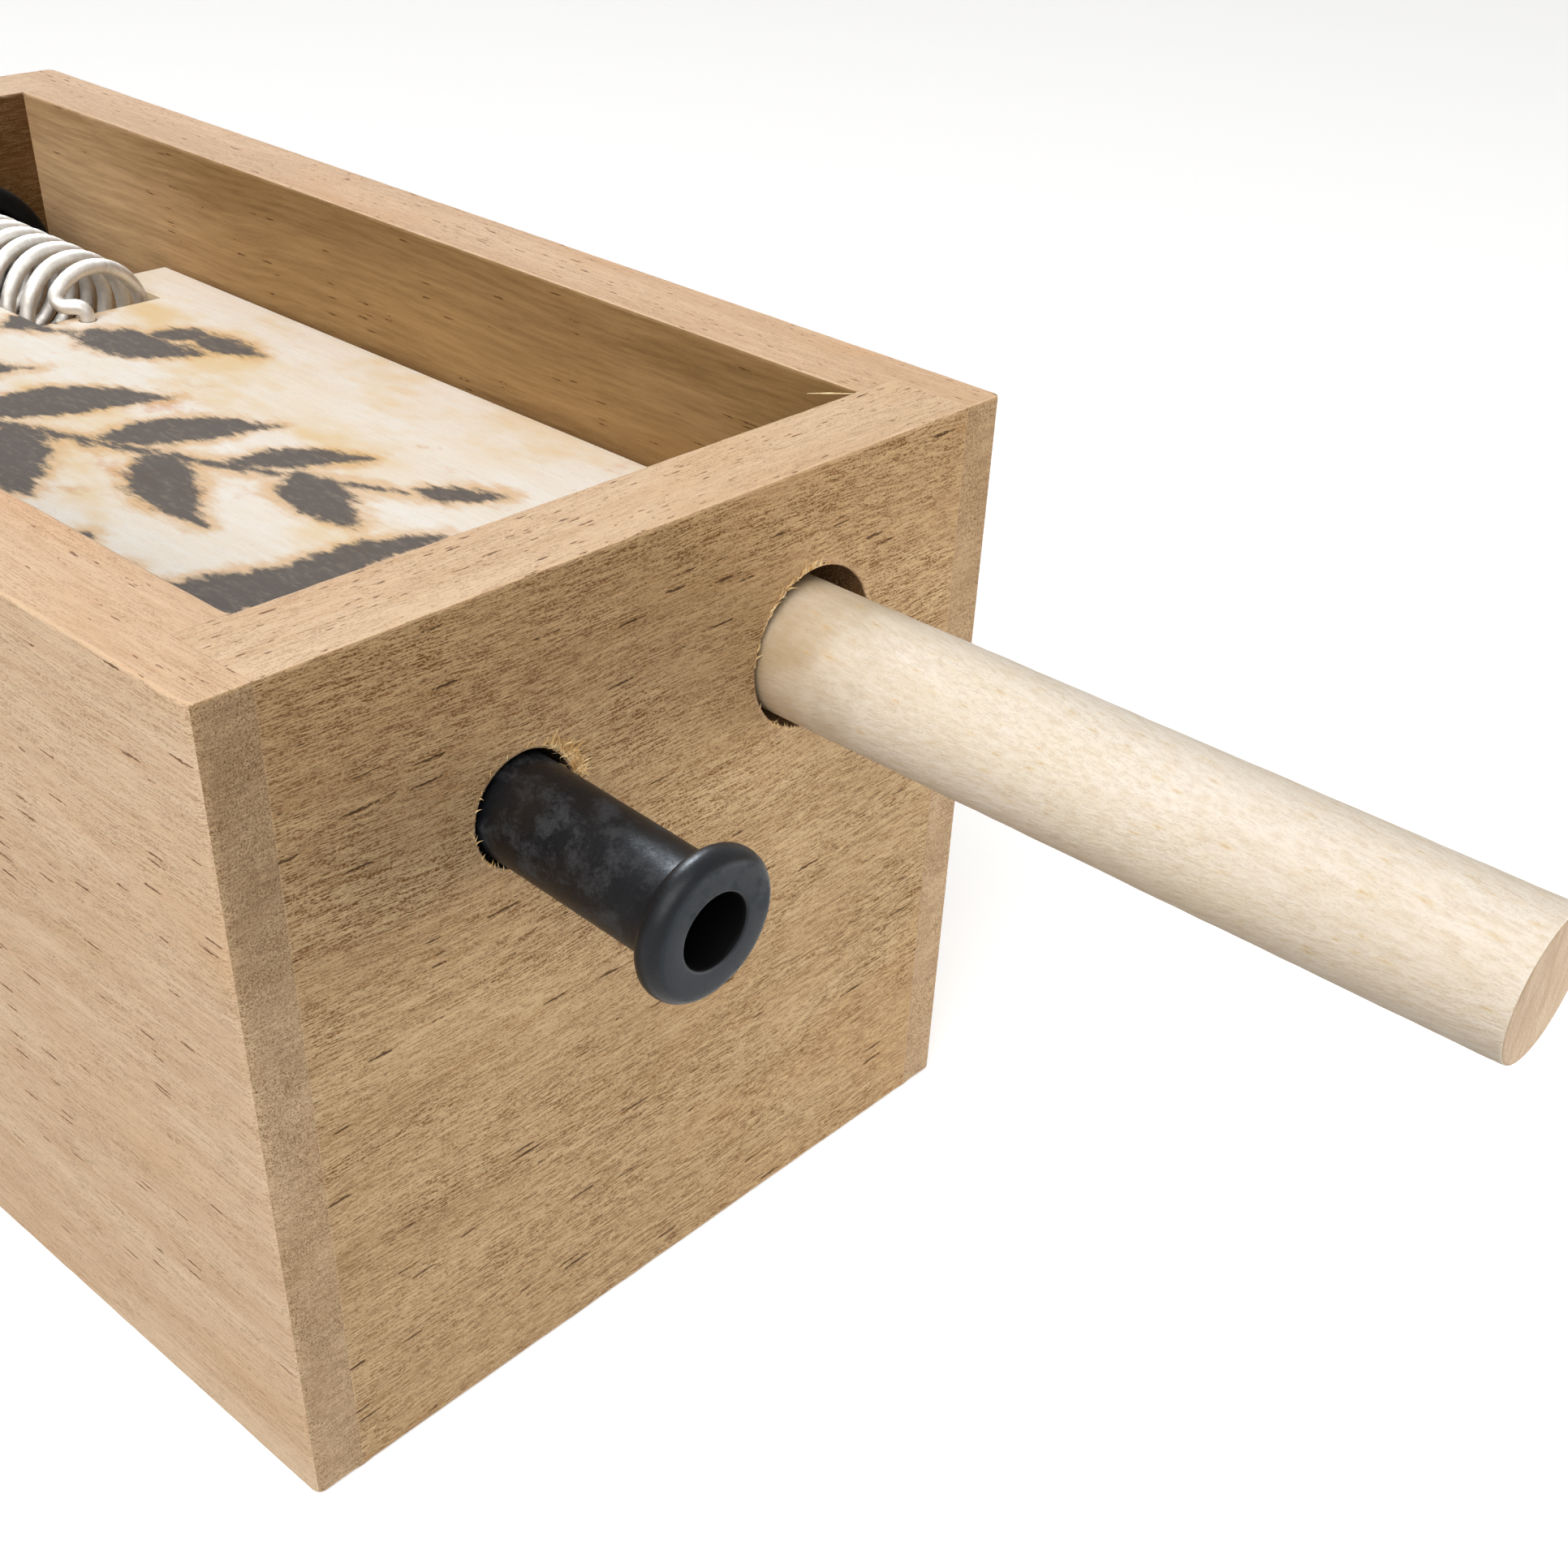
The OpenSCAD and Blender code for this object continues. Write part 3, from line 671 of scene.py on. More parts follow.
latch_coil_low, latch_coil_high = span("latch_spring")
COIL_HOLE_X = (latch_coil_low.x + latch_coil_high.x) / 2
COIL_HOLE_RADIUS, COIL_HOLE_DEPTH = 3.4, 4.0
for name, face, radius in (("bottom_panel", bottom_face, 0.08), ("rail_left", rail_face, 0.25),
                           ("rail_right", rail_face, 0.25)):
    low, high = span(name)
    wood = slab([lengthwise(low, high)], low.z, high.z, lambda u, v, loop, face: radius,
                lambda u, v, t: (u, v, t))
    board = piece(name + "_wood", wood, face)
    if name == "bottom_panel":
        carved(board, [drill(Vector((COIL_HOLE_X, BUTTON_Y, latch_coil_low.z + COIL_HOLE_DEPTH / 2)),
                             COIL_HOLE_RADIUS, COIL_HOLE_DEPTH, sides=48)])
    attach(board, "box")
    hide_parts(name)


# ---- Sliding board ---------------------------------------------------------------------------
# A cream-painted softwood board whose face is printed with dark grey leaf sprays and a border that
# have bled orange along the grain. A slot clears the button and latch, a half-round groove takes the
# dowel, and a notch at the back takes the coil.

board_low, board_high = span("slide_board")
coil_low, coil_high = span("main_spring")
COIL_RADIUS = (coil_high.y - coil_low.y) / 2
WIRE = 1.4
COIL_START = -26.4
LEG_FOOT = Vector((-24.3, 12.0, 49.4))
SLOT_END = 36.0
SLOT_SIZE, SLOT_MIDDLE_Z = (30, 15, 20), 46
GRID = 0.5
PRINT_EDGE = 0.6
COIL_CLEAR = 0.35


def eased_steps(low, high, radius):
    """Places along one side of a board: close together on the eased arrises, GRID apart between."""
    bends = [radius * (1 - math.cos(math.pi / 2 * k / 3)) for k in range(4)]
    count = math.ceil((high - low - 2 * radius) / GRID)
    middle = [low + radius + (high - low - 2 * radius) * k / count for k in range(1, count)]
    return [low + b for b in bends] + middle + [high - b for b in reversed(bends)]


def printed_board(low, high, radius):
    """The board before its cuts, with a fine grid over the printed face."""
    xs, ys = eased_steps(low.x, high.x, radius), eased_steps(low.y, high.y, radius)
    made = bmesh.new()

    def fall(x, y):
        near = min(x - low.x, high.x - x, y - low.y, high.y - y)
        return 0 if near >= radius else radius - math.sqrt(max(0.0, radius ** 2 - (radius - near) ** 2))

    top = [[made.verts.new(Vector((x, y, high.z - fall(x, y))) * MM) for x in xs] for y in ys]
    for lower, upper in zip(top, top[1:]):
        for i in range(len(xs) - 1):
            made.faces.new((lower[i], lower[i + 1], upper[i + 1], upper[i]))
    around = top[0] + [row[-1] for row in top[1:-1]] + top[-1][::-1] + [row[0] for row in top[-2:0:-1]]
    under = [made.verts.new(Vector((v.co.x, v.co.y, low.z * MM))) for v in around]
    for i in range(len(around)):
        j = (i + 1) % len(around)
        made.faces.new((around[i], under[i], under[j], around[j]))
    made.faces.new(under[::-1])
    bmesh.ops.recalc_face_normals(made, faces=made.faces)
    return made


def bored(low_x, high_x, radius):
    """A cutter on the dowel's line from one place along it to another."""
    return drill(Vector(((low_x + high_x) / 2, ROD_Y, ROD_Z)), radius, high_x - low_x, way="X")


slot_cutter = block(bmesh.new(), Vector((SLOT_END + SLOT_SIZE[0] / 2, BUTTON_Y, SLOT_MIDDLE_Z)), SLOT_SIZE)
groove = bored(rod_low.x, 70, ROD_RADIUS)
notch = bored(-40, COIL_START + WIRE / 2 + 0.1, COIL_RADIUS + COIL_CLEAR)
LEG_HOLE_RADIUS, LEG_HOLE_LENGTH = 0.85, 8
leg_hole = drill(LEG_FOOT + Vector((0, 0, 3.4)), LEG_HOLE_RADIUS, LEG_HOLE_LENGTH, sides=24)


def leaf(x, y, heading, length, width, bow):
    """A leaf from its stalk to its tip, as tapering strokes along its curved rib. Each stroke is
    x, y, half width at one end, then the same at the other, in millimetres on the face."""
    rib = []
    for k in range(8):
        turn = math.radians(heading + bow * k / 7)
        rib.append((x, y, 0.22 + width * math.sin(math.pi * (k / 7) ** 0.8) ** 1.2))
        x, y = x + length / 7 * math.cos(turn), y + length / 7 * math.sin(turn)
    return [one + two for one, two in zip(rib, rib[1:])]


SPRIGS = [(-28, -15, 18, 60, 0.35, 12), (-21, -12.4, 88, 15, 2.9, -40), (-10, -8.6, 80, 17, 3.2, -40),
          (2, -3.6, 76, 15, 2.6, -34), (13, 1.8, 64, 11, 1.8, -24), (-16, -11, -48, 14, 2.4, 38),
          (-5, -6.5, -42, 15, 3.0, 34), (7, -1, -36, 16, 2.5, 34), (18, 4.6, -26, 12, 2.4, 28),
          (27, 9.4, 30, 7, 1.3, 12), (-32, 1, 44, 22, 0.3, -20), (-27, 5.5, 104, 9, 2.0, -40),
          (-22, 10, 10, 13, 2.8, 22), (-17, 14, 62, 6, 1.4, -30), (-14, 17, 4, 8, 1.6, 14)]
SHORE = [(27.0, -21, 2.6, 31.6, -15.5, 3.4), (31.6, -15.5, 3.4, 34.2, -8.0, 2.8),
         (34.2, -8.0, 2.8, 33.6, -0.5, 1.8), (33.6, -0.5, 1.8, 35.2, 4.6, 0.8),
         (-34, -22.8, 1.4, 27.0, -21.2, 2.6), (22, -16.6, 0.7, 23.4, -16, 1.3),
         (16.5, -15.4, 0.5, 17.4, -15, 1.0)]


def away_from(strokes, x, y):
    """Millimetres from each place to the nearest stroke's edge, less than 0 inside it."""
    nearest = np.full(len(x), 99.0)
    for x0, y0, w0, x1, y1, w1 in strokes:
        along = np.clip(((x - x0) * (x1 - x0) + (y - y0) * (y1 - y0))
                        / ((x1 - x0) ** 2 + (y1 - y0) ** 2), 0, 1)
        reach = np.hypot(x - x0 - along * (x1 - x0), y - y0 - along * (y1 - y0))
        nearest = np.minimum(nearest, reach - (w0 + along * (w1 - w0)))
    return nearest


printed, tree, shader = finish("printed_face")
vector = laid(tree)
figure = use(tree, grain, Vector=vector, Light=paint("fffaf2"), Dark=paint("f9ebd8"), Warm=paint("f7dfb6"),
             Warmth=0.35, Fuzz=0.12)
apart = node(tree, "ShaderNodeAttribute", attribute_name="print").outputs["Fac"]
fray = cloud(tree, vector, (330, 1100, 1100), detail=4, roughness=0.7)
ragged = plus(tree, apart, times(tree, calc(tree, "SUBTRACT", fray, 0.5), 3.4))
ink = rise(tree, ragged, 0.55, -0.45)
bleed = cloud(tree, vector, (90, 240, 240), detail=3)
spread = plus(tree, ragged, times(tree, calc(tree, "SUBTRACT", bleed, 0.5), -3.0))
halo = rise(tree, spread, 1.9, 0.2)
thin = rise(tree, cloud(tree, vector, (700, 2200, 2200), detail=3, roughness=0.7), 0.45, 0.8)
soak = rise(tree, cloud(tree, vector, (42, 70, 70), detail=4, roughness=0.62), 0.48, 0.68)
rust = rise(tree, cloud(tree, vector, (75, 110, 110), detail=5, roughness=0.68), 0.58, 0.72)
colour = wash(tree, figure["Color"], soak, 0.75, "f0cc8b")
colour = wash(tree, colour, rust, 0.65, "d98f45")
colour = wash(tree, colour, halo, 0.6, "e4b066")
dark = wash(tree, paint("534f4e"), thin, 0.5, "91877b")
colour = tint(tree, times(tree, ink, 0.93), colour, dark)
surface(tree, shader, colour, rise(tree, ink, 0, 1, 0.75, 0.7), 0.05,
        plus(tree, figure["Height"], times(tree, ink, 0.6)), 0.35, 0.0001)
board_edge = cedar("board_edge", "ecd9bb", "d6bd98", "dcb98a", offset=(4, 4, 4), share=0.05, fuzz=0.1)

board = piece("slide_board_wood", printed_board(board_low, board_high, 0.5), printed)
carved(board, [slot_cutter, groove, notch, leg_hole])
shape = board.data
where = np.empty(len(shape.vertices) * 3)
shape.vertices.foreach_get("co", where)
where = where.reshape(-1, 3) / MM
strokes = SHORE + [stroke for values in SPRIGS for stroke in leaf(*values)]
apart = away_from(strokes, where[:, 0], where[:, 1])
apart[where[:, 2] < board_high.z - PRINT_EDGE] = 9.0
shape.attributes.new("print", "FLOAT", "POINT").data.foreach_set("value", apart.astype(np.float32))
refinished(shape, (printed, board_edge), 30, lambda face: not (
    face.normal.z > 0.5 and face.center.z > (board_high.z - PRINT_EDGE) * MM))
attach(board, "slide")
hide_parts("slide_board")


# ---- Dowel -----------------------------------------------------------------------------------
# A bare birch dowel, sawn off square, glued half-sunk in the board's groove. It is stained tan
# where it has been rubbed in the hole, and its surface is covered with fine raised fibres.

def turned(corners, place, sides=96, hollow=False, step=3.0):
    """A solid of revolution. corners (along, radius, rounding) run anticlockwise round the half that
    is turned, and place(along, u, v) puts a point into the piece."""
    chain = [point(0) for point in rounded(corners, step)]
    made = bmesh.new()
    if not hollow:
        tips = [p for p in chain if p.y < 1e-6]
        chain = [p for p in chain if p.y >= 1e-6]
        first, last = max(p.x for p in tips), min(p.x for p in tips)
    angles = [2 * math.pi * k / sides for k in range(sides)]
    rings = [[made.verts.new(Vector(place(p.x, p.y * math.cos(a), p.y * math.sin(a))) * MM) for a in angles]
             for p in chain]
    for one, two in zip(rings, rings[1:] + rings[:1] if hollow else rings[1:]):
        for i in range(sides):
            j = (i + 1) % sides
            made.faces.new((one[i], one[j], two[j], two[i]))
    if not hollow:
        for ring, x in ((rings[0], first), (rings[-1], last)):
            hub = made.verts.new(Vector(place(x, 0, 0)) * MM)
            for i in range(sides):
                made.faces.new((ring[i], ring[(i + 1) % sides], hub))
    bmesh.ops.recalc_face_normals(made, faces=made.faces)
    return made


dowel_face, tree, shader = finish("dowel_face")
vector = laid(tree, turn=(0, 4, 7), offset=(0, 30, 0))
figure = use(tree, grain, Vector=vector, Light=paint("f6ecdf"), Dark=paint("e3d4be"), Warm=paint("ebdcbf"),
             Warmth=0.4, Fuzz=0.2)
slant = cloud(tree, laid(tree, turn=(0, 14, 18)), (260, 2600, 2600), detail=3, roughness=0.65)
fleck = use(tree, pores, Vector=vector, Length=0.0016, Width=0.0004, Share=0.24)
along = place_along(tree, "X")
rub = plus(tree, times(tree, along, 1 / MM), times(tree, cloud(tree, vector, 260, detail=3), 14))
tan = times(tree, rise(tree, rub, 84, 66), rise(tree, rub, 52, 62, 0.3, 1.0))
colour = wash(tree, figure["Color"], rise(tree, slant, 0.42, 0.7), 0.28, "cdb28a")
colour = wash(tree, colour, tan, 0.95, "b1976f")
colour = wash(tree, colour, fleck["Stain"], 0.3, "dfbf85")
colour = wash(tree, colour, fleck["Mask"], 0.3, "c39a60")
surface(tree, shader, colour, rise(tree, slant, 0.2, 0.8, 0.55, 0.75), 0.12,
        plus(tree, figure["Height"], slant))

# The sawn end grain: darker in itself, and painted darker still as shade.
dowel_end_shaded, tree, shader = finish("dowel_end_shaded")
vector = laid(tree)
rings = cloud(tree, vector, (300, 900, 260), detail=4, roughness=0.6)
open_ends = node(tree, "ShaderNodeTexVoronoi", {"Vector": vector, "Scale": 3800}).outputs["Distance"]
saw = cloud(tree, vector, (100, 5200, 500))
colour = tint(tree, rise(tree, rings, 0.3, 0.7), paint("af967a"), paint("bea78d"))
colour = wash(tree, colour, rise(tree, open_ends, 0.25, 0.05), 0.35, "b58a58")
surface(tree, shader, colour, 0.8, 0.15, plus(tree, saw, open_ends))


def on_rod(along, u, v):
    """A place on the dowel, whose along is the box's X."""
    rough = 0.03 * waver(21, 1.6, along, u, v)
    return (along, ROD_Y + u * (1 + rough / ROD_RADIUS), ROD_Z + v * (1 + rough / ROD_RADIUS))


SEAT = 14.2
RECESS_RADIUS, RECESS_LENGTH, RECESS_MIDDLE = 1.28, 4, Vector((0, 0, 1.4))
BRADS = [Vector((rod_low.x + SEAT * k / 4, ROD_Y, ROD_Z + ROD_RADIUS)) for k in (1, 3)]
profile = [(rod_low.x, 0, 0), (rod_high.x, 0, 0), (rod_high.x, ROD_RADIUS, 0.25),
           (rod_low.x, ROD_RADIUS, 0.25)]
dowel = piece("push_rod_wood", turned(profile, on_rod, sides=160, step=1.5))
carved(dowel, [drill(brad + RECESS_MIDDLE, RECESS_RADIUS, RECESS_LENGTH, sides=32) for brad in BRADS])
refinished(dowel.data, (dowel_face, dowel_end_shaded), 40, lambda face: abs(face.normal.x) > 0.8)
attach(dowel, "slide")
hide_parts("push_rod")


# ---- Brads and screws ------------------------------------------------------------------------
# Two small nails pin the dowel down into the board, one screw holds the spring cup and two hold
# the latch's bracket. All are zinc-plated steel and are set out by one tree of geometry nodes.

scuffs, takes, gives = group("scuffed_metal", [
    ("Vector", VECTOR, None), ("Bright", COLOUR, paint("d2d0cb")), ("Dull", COLOUR, paint("8f8b85"))],
    [("Color", COLOUR), ("Roughness", FLOAT), ("Height", FLOAT)])
smear = cloud(scuffs, takes["Vector"], 420, detail=4, roughness=0.65)
lines = cloud(scuffs, takes["Vector"], (300, 2600, 900), detail=3)
scuffs.links.new(tint(scuffs, rise(scuffs, smear, 0.35, 0.7), takes["Bright"], takes["Dull"]),
                 gives["Color"])
scuffs.links.new(rise(scuffs, plus(scuffs, smear, lines), 0.7, 1.3, 0.22, 0.48), gives["Roughness"])
scuffs.links.new(lines, gives["Height"])


def metal(name, bright, dull, rough=0.0):
    """Plated or bare steel; rough is added to how dull its shine is."""
    made, tree, shader = finish(name)
    marks = use(tree, scuffs, Vector=laid(tree), Bright=paint(bright), Dull=paint(dull))
    surface(tree, shader, marks["Color"], plus(tree, marks["Roughness"], rough), 0.5,
            marks["Height"], 0.2, 0.00005)
    shader.inputs["Metallic"].default_value = 1.0
    return made


zinc = metal("zinc_plate", "c9c9c6", "8b8b88")
wire_steel = metal("wire_steel", "e6e2dc", "cbc6bf", rough=0.22)


def grow(name, source, tree, **values):
    """Runs a tree of geometry nodes on a mesh and keeps what it makes as a plain piece."""
    base = bpy.data.objects.new(name, source)
    scene.collection.objects.link(base)
    maker = base.modifiers.new("grow", "NODES")
    maker.node_group = tree
    for item in tree.interface.items_tree:
        if item.in_out == "INPUT" and item.name in values:
            maker[item.identifier] = values[item.name]
    bpy.context.view_layer.update()
    mesh = bpy.data.meshes.new_from_object(base.evaluated_get(bpy.context.evaluated_depsgraph_get()))
    base.modifiers.clear()
    base.data = mesh
    mesh.name = name
    smoothed(mesh, 40)
    return base


def growing(name, takes):
    """A tree of geometry nodes that turns a geometry into another."""
    shape = ("Geometry", "NodeSocketGeometry")
    return group(name, [shape + (None,)] + takes, [shape], "GeometryNodeTree")


def made_of(tree, shape, material, out):
    """Ends a tree of geometry nodes with the piece's material."""
    done = node(tree, "GeometryNodeSetMaterial", {"Geometry": shape, "Material": material}).outputs[0]
    tree.links.new(done, out)


# One fastener stands on every point of the mesh, turned the way that "Turn" says.
fasteners, takes, gives = growing("fasteners", [
    ("Fastener", "NodeSocketObject", None), ("Turn", "NodeSocketRotation", None),
    ("Material", MATERIAL, None)])
pattern = node(fasteners, "GeometryNodeObjectInfo", {"Object": takes["Fastener"]}).outputs["Geometry"]
stood = node(fasteners, "GeometryNodeInstanceOnPoints", {
    "Points": takes["Geometry"], "Instance": pattern, "Rotation": takes["Turn"]}).outputs[0]
real = node(fasteners, "GeometryNodeRealizeInstances", {"Geometry": stood}).outputs[0]
made_of(fasteners, real, takes["Material"], gives[0])


def set_out(name, profile, places, turn, body, slotted=False):
    """Turns one fastener along X, head at 0 and shank towards -X, and sets a copy at each place. A
    slotted one has a cross cut into its head."""
    one = piece("one_" + name, turned(profile, lambda along, u, v: (along, u, v), sides=40, step=1.0))
    if slotted:
        blade = bmesh.new()
        head = max(corner[0] for corner in profile)
        for size in ((0.9, 2.75, 0.275), (0.9, 0.275, 2.75)):
            block(blade, Vector((head, 0, 0)), size)
        carved(one, [blade])
    points = bpy.data.meshes.new(name)
    points.from_pydata([p * MM for p in places], [], [])
    made = grow(name + "_steel", points, fasteners, Fastener=one, Turn=turn, Material=zinc)
    bpy.data.objects.remove(one)
    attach(made, body)
    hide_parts(name)


def nail(shank, radius, head, thick, point):
    """A fastener's profile: a pointed shank under a flat-domed head."""
    return [(-shank, 0, 0), (thick, 0, 0), (thick, head, thick * 0.4), (0, head, 0), (0, radius, 0),
            (-shank + point, radius, 0)]


upright = (0, -math.pi / 2, 0)
set_out("rod_brads", nail(11.9, 0.58, 1.2, 0.28, 1.4), [b - Vector((0, 0, 0.6)) for b in BRADS], upright,
        "slide")
cup_low, cup_high = span("spring_cup")
set_out("cup_screw", nail(7.0, 1.45, 2.8, 1.6, 1.8), [Vector((cup_low.x + 1.5, ROD_Y, ROD_Z))], (0, 0, 0),
        "box", slotted=True)
bracket_low, bracket_high = span("latch_bracket")
PIVOT_Z = (bracket_low.z + bracket_high.z) / 2
set_out("bracket_screws", nail(9.5, 1.2, 2.35, 0.9, 1.5),
        [Vector((INNER_END - 4, BUTTON_Y, PIVOT_Z + s)) for s in (-3, 3)], (0, 0, math.pi), "box",
        slotted=True)


# ---- Main spring -----------------------------------------------------------------------------
# A coil of bright steel wire. Its far end stands in the cup, its turns open out towards the board,
# and its near end is bent across and stuck down into the board.

wound, takes, gives = growing("wound_wire", [
    ("Thickness", FLOAT, 0.0014), ("Sides", WHOLE, 16), ("Material", MATERIAL, None)])
line = node(wound, "GeometryNodeMeshToCurve", {"Mesh": takes["Geometry"]}).outputs[0]
ring = node(wound, "GeometryNodeCurvePrimitiveCircle", {
    "Resolution": takes["Sides"], "Radius": times(wound, takes["Thickness"], 0.5)}).outputs[0]
taper = node(wound, "GeometryNodeInputNamedAttribute", {"Name": "taper"}).outputs[0]
swept = node(wound, "GeometryNodeCurveToMesh", {"Curve": line, "Profile Curve": ring, "Scale": taper,
                                                "Fill Caps": True}).outputs[0]
made_of(wound, swept, takes["Material"], gives[0])


def guide(name, lines, taper=lambda t: 1.0):
    """Lines of places in millimetres as a mesh of edges, with how thick each is along its length."""
    mesh = bpy.data.meshes.new(name)
    places, edges, widths = [], [], []
    for one in lines:
        edges += [(len(places) + i, len(places) + i + 1) for i in range(len(one) - 1)]
        places += [p * MM for p in one]
        widths += [taper(i / (len(one) - 1)) for i in range(len(one))]
    mesh.from_pydata(places, edges, [])
    mesh.attributes.new("taper", "FLOAT", "POINT").data.foreach_set("value", widths)
    return mesh


COIL_MEAN = COIL_RADIUS - WIRE / 2
COIL_STOP = -54.8
TURNS, PER_TURN, SPREAD, START_ANGLE = 10, 48, 1.28, 132
LEG_REACH, LEG_RISE, LEG_BEND = 1.54, 1.19, 0.85


def coil_point(u):
    """A place on the coil, from the board at 0 to the cup's floor at 1."""
    angle = math.radians(START_ANGLE - 360 * TURNS * u)
    x = COIL_START - (COIL_START - COIL_STOP) * (SPREAD * u + (1 - SPREAD) * u * u)
    return Vector((x, ROD_Y + COIL_MEAN * math.cos(angle), ROD_Z + COIL_MEAN * math.sin(angle)))


def bend(a, p, b, radius):
    """The corner at p on the way from a to b, rounded."""
    u, v = (a - p).normalized(), (b - p).normalized()
    half = u.angle(v) / 2
    middle = p + (u + v).normalized() * radius / math.sin(half)
    start, stop = p + u * radius / math.tan(half) - middle, p + v * radius / math.tan(half) - middle
    turn = math.pi - 2 * half
    return [middle + (math.sin(turn * (1 - k / 6)) * start + math.sin(turn * k / 6) * stop)
            / math.sin(turn) for k in range(7)]


coil_way = (coil_point(0.001) - coil_point(0)).normalized()
leg_side = coil_point(0) - LEG_REACH * coil_way
leg_top = Vector((LEG_FOOT.x, LEG_FOOT.y, board_high.z + LEG_RISE))
leg = [LEG_FOOT] + bend(LEG_FOOT, leg_top, leg_side, LEG_BEND)
leg += bend(leg_top, leg_side, coil_point(0), LEG_BEND)
coil_lines = [coil_point(i / (PER_TURN * TURNS)) for i in range(PER_TURN * TURNS + 1)]
coil = grow("main_spring_coil", guide("coil", [coil_lines]), wound, Thickness=WIRE * MM,
            Material=wire_steel)
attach(coil, "box")
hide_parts("main_spring")
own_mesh(coil)
hook = grow("main_spring_leg", guide("leg", [leg + [coil_point(0)]]), wound, Thickness=WIRE * MM,
            Material=wire_steel)
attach(hook, "slide")


# ---- Spring cup ------------------------------------------------------------------------------
# A black moulded plastic cup with a round lip, screwed to the far end panel. It holds the coil's
# far end, and wood dust has been rubbed into it.

dust, takes, gives = group("rubbed_dust", [
    ("Vector", VECTOR, None), ("Base", COLOUR, paint("1a1b1c")), ("Dust", COLOUR, paint("5b5a58")),
    ("Amount", FLOAT, 0.4)], [("Color", COLOUR), ("Roughness", FLOAT), ("Height", FLOAT)])
drift = cloud(dust, takes["Vector"], 210, detail=4, roughness=0.6)
specks = cloud(dust, takes["Vector"], 1500, detail=3, roughness=0.7)
lying = times(dust, rise(dust, plus(dust, drift, times(dust, specks, 0.35)),
                                    0.62, 0.88), takes["Amount"])
dust.links.new(tint(dust, lying, takes["Base"], takes["Dust"]), gives["Color"])
dull = plus(dust, lying, times(dust, specks, 0.3))
dust.links.new(rise(dust, dull, 0.05, 0.6, 0.36, 0.7), gives["Roughness"])
dust.links.new(specks, gives["Height"])


def moulded(name, base, dusty, amount, shine=0.15, relief=0.25):
    """Satin black plastic with wood dust rubbed into it."""
    made, tree, shader = finish(name)
    film = use(tree, dust, Vector=laid(tree), Base=paint(base), Dust=paint(dusty), Amount=amount)
    surface(tree, shader, film["Color"], film["Roughness"], shine, film["Height"], relief, 0.00006)
    return made


CUP_RADIUS = (cup_high.y - cup_low.y) / 2
cup_black = moulded("cup_black", "131313", "26231f", 0.3, shine=0.05)
CUP_BORE, CUP_FLOOR, SCREW_HOLE = COIL_RADIUS + COIL_CLEAR, cup_low.x + 1.5, 1.55
cup_profile = [(cup_low.x, SCREW_HOLE, 0), (CUP_FLOOR, SCREW_HOLE, 0.1), (CUP_FLOOR, CUP_BORE, 0.3),
               (cup_high.x, CUP_BORE, 0.3), (cup_high.x, CUP_RADIUS, 1.2), (cup_low.x, CUP_RADIUS, 0.2)]
cup = piece("spring_cup_moulding", turned(
    cup_profile[::-1], lambda along, u, v: (along, ROD_Y + u, ROD_Z + v), hollow=True), cup_black)
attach(cup, "box")
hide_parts("spring_cup")


# ---- Release button --------------------------------------------------------------------------
# A hollow turned button of satin black plastic with a soft-edged flange, hanging a little down in
# its oversize hole. Its tube is scuffed and dusty where it rubs, and its face is rubbed grey.

TILT = math.radians(3.3)
REACH, TAIL = 17.0, 12.0
TUBE, BORE, FLANGE, FLANGE_THICK = 3.7, 2.6, 5.35, 2.2


def on_button(along, u, v):
    """A place on the button; along is measured from the box's front face out along its axis."""
    return (END + along * math.cos(TILT) + v * math.sin(TILT), BUTTON_Y + u,
            BUTTON_Z - along * math.sin(TILT) + v * math.cos(TILT))


tube_black, tree, shader = finish("tube_black")
vector = laid(tree)
along = place_along(tree, "X")
film = use(tree, dust, Vector=scaled(tree, vector, 2.2, 2.2, 2.2), Base=paint("131519"),
           Dust=paint("5c5d5f"), Amount=rise(tree, along, 0.0795, 0.0775, 0.05, 0.3))
brown = times(tree, rise(tree, along, 0.079, 0.066), rise(
    tree, cloud(tree, vector, 320, detail=3), 0.35, 0.7))
surface(tree, shader, wash(tree, film["Color"], brown, 0.6, "211a14"), film["Roughness"], 0.22,
        film["Height"], 0.25, 0.00006)
face_grey = moulded("face_grey", "20252b", "3a3e42", 0.4, shine=0.14, relief=0.2)
bore_black = moulded("bore_black", "101010", "1c1a18", 0.3, shine=0.02)

BACK = REACH - FLANGE_THICK
profile = [(-TAIL, BORE, 0.1), (-TAIL, TUBE, 0.15), (BACK, TUBE, 0.6), (BACK, FLANGE, 1.0),
           (REACH, FLANGE, 1.0), (REACH, BORE, 0.35)]
shell = turned(profile[::-1], on_button, sides=160, hollow=True, step=1.5)
button = piece("release_button_moulding", shell, tube_black, face_grey, bore_black)
axis = Vector((math.cos(TILT), 0, -math.sin(TILT)))
for face in button.data.polygons:
    out = face.center / MM - Vector((END, BUTTON_Y, BUTTON_Z))
    radial = (out - axis * out.dot(axis)).length
    if radial < BORE + 0.25 and face.normal.dot(axis) < 0.7:
        face.material_index = 2
    elif out.dot(axis) > REACH - 0.2 and face.normal.dot(axis) > 0.93:
        face.material_index = 1
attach(button, "button")
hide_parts("release_button")

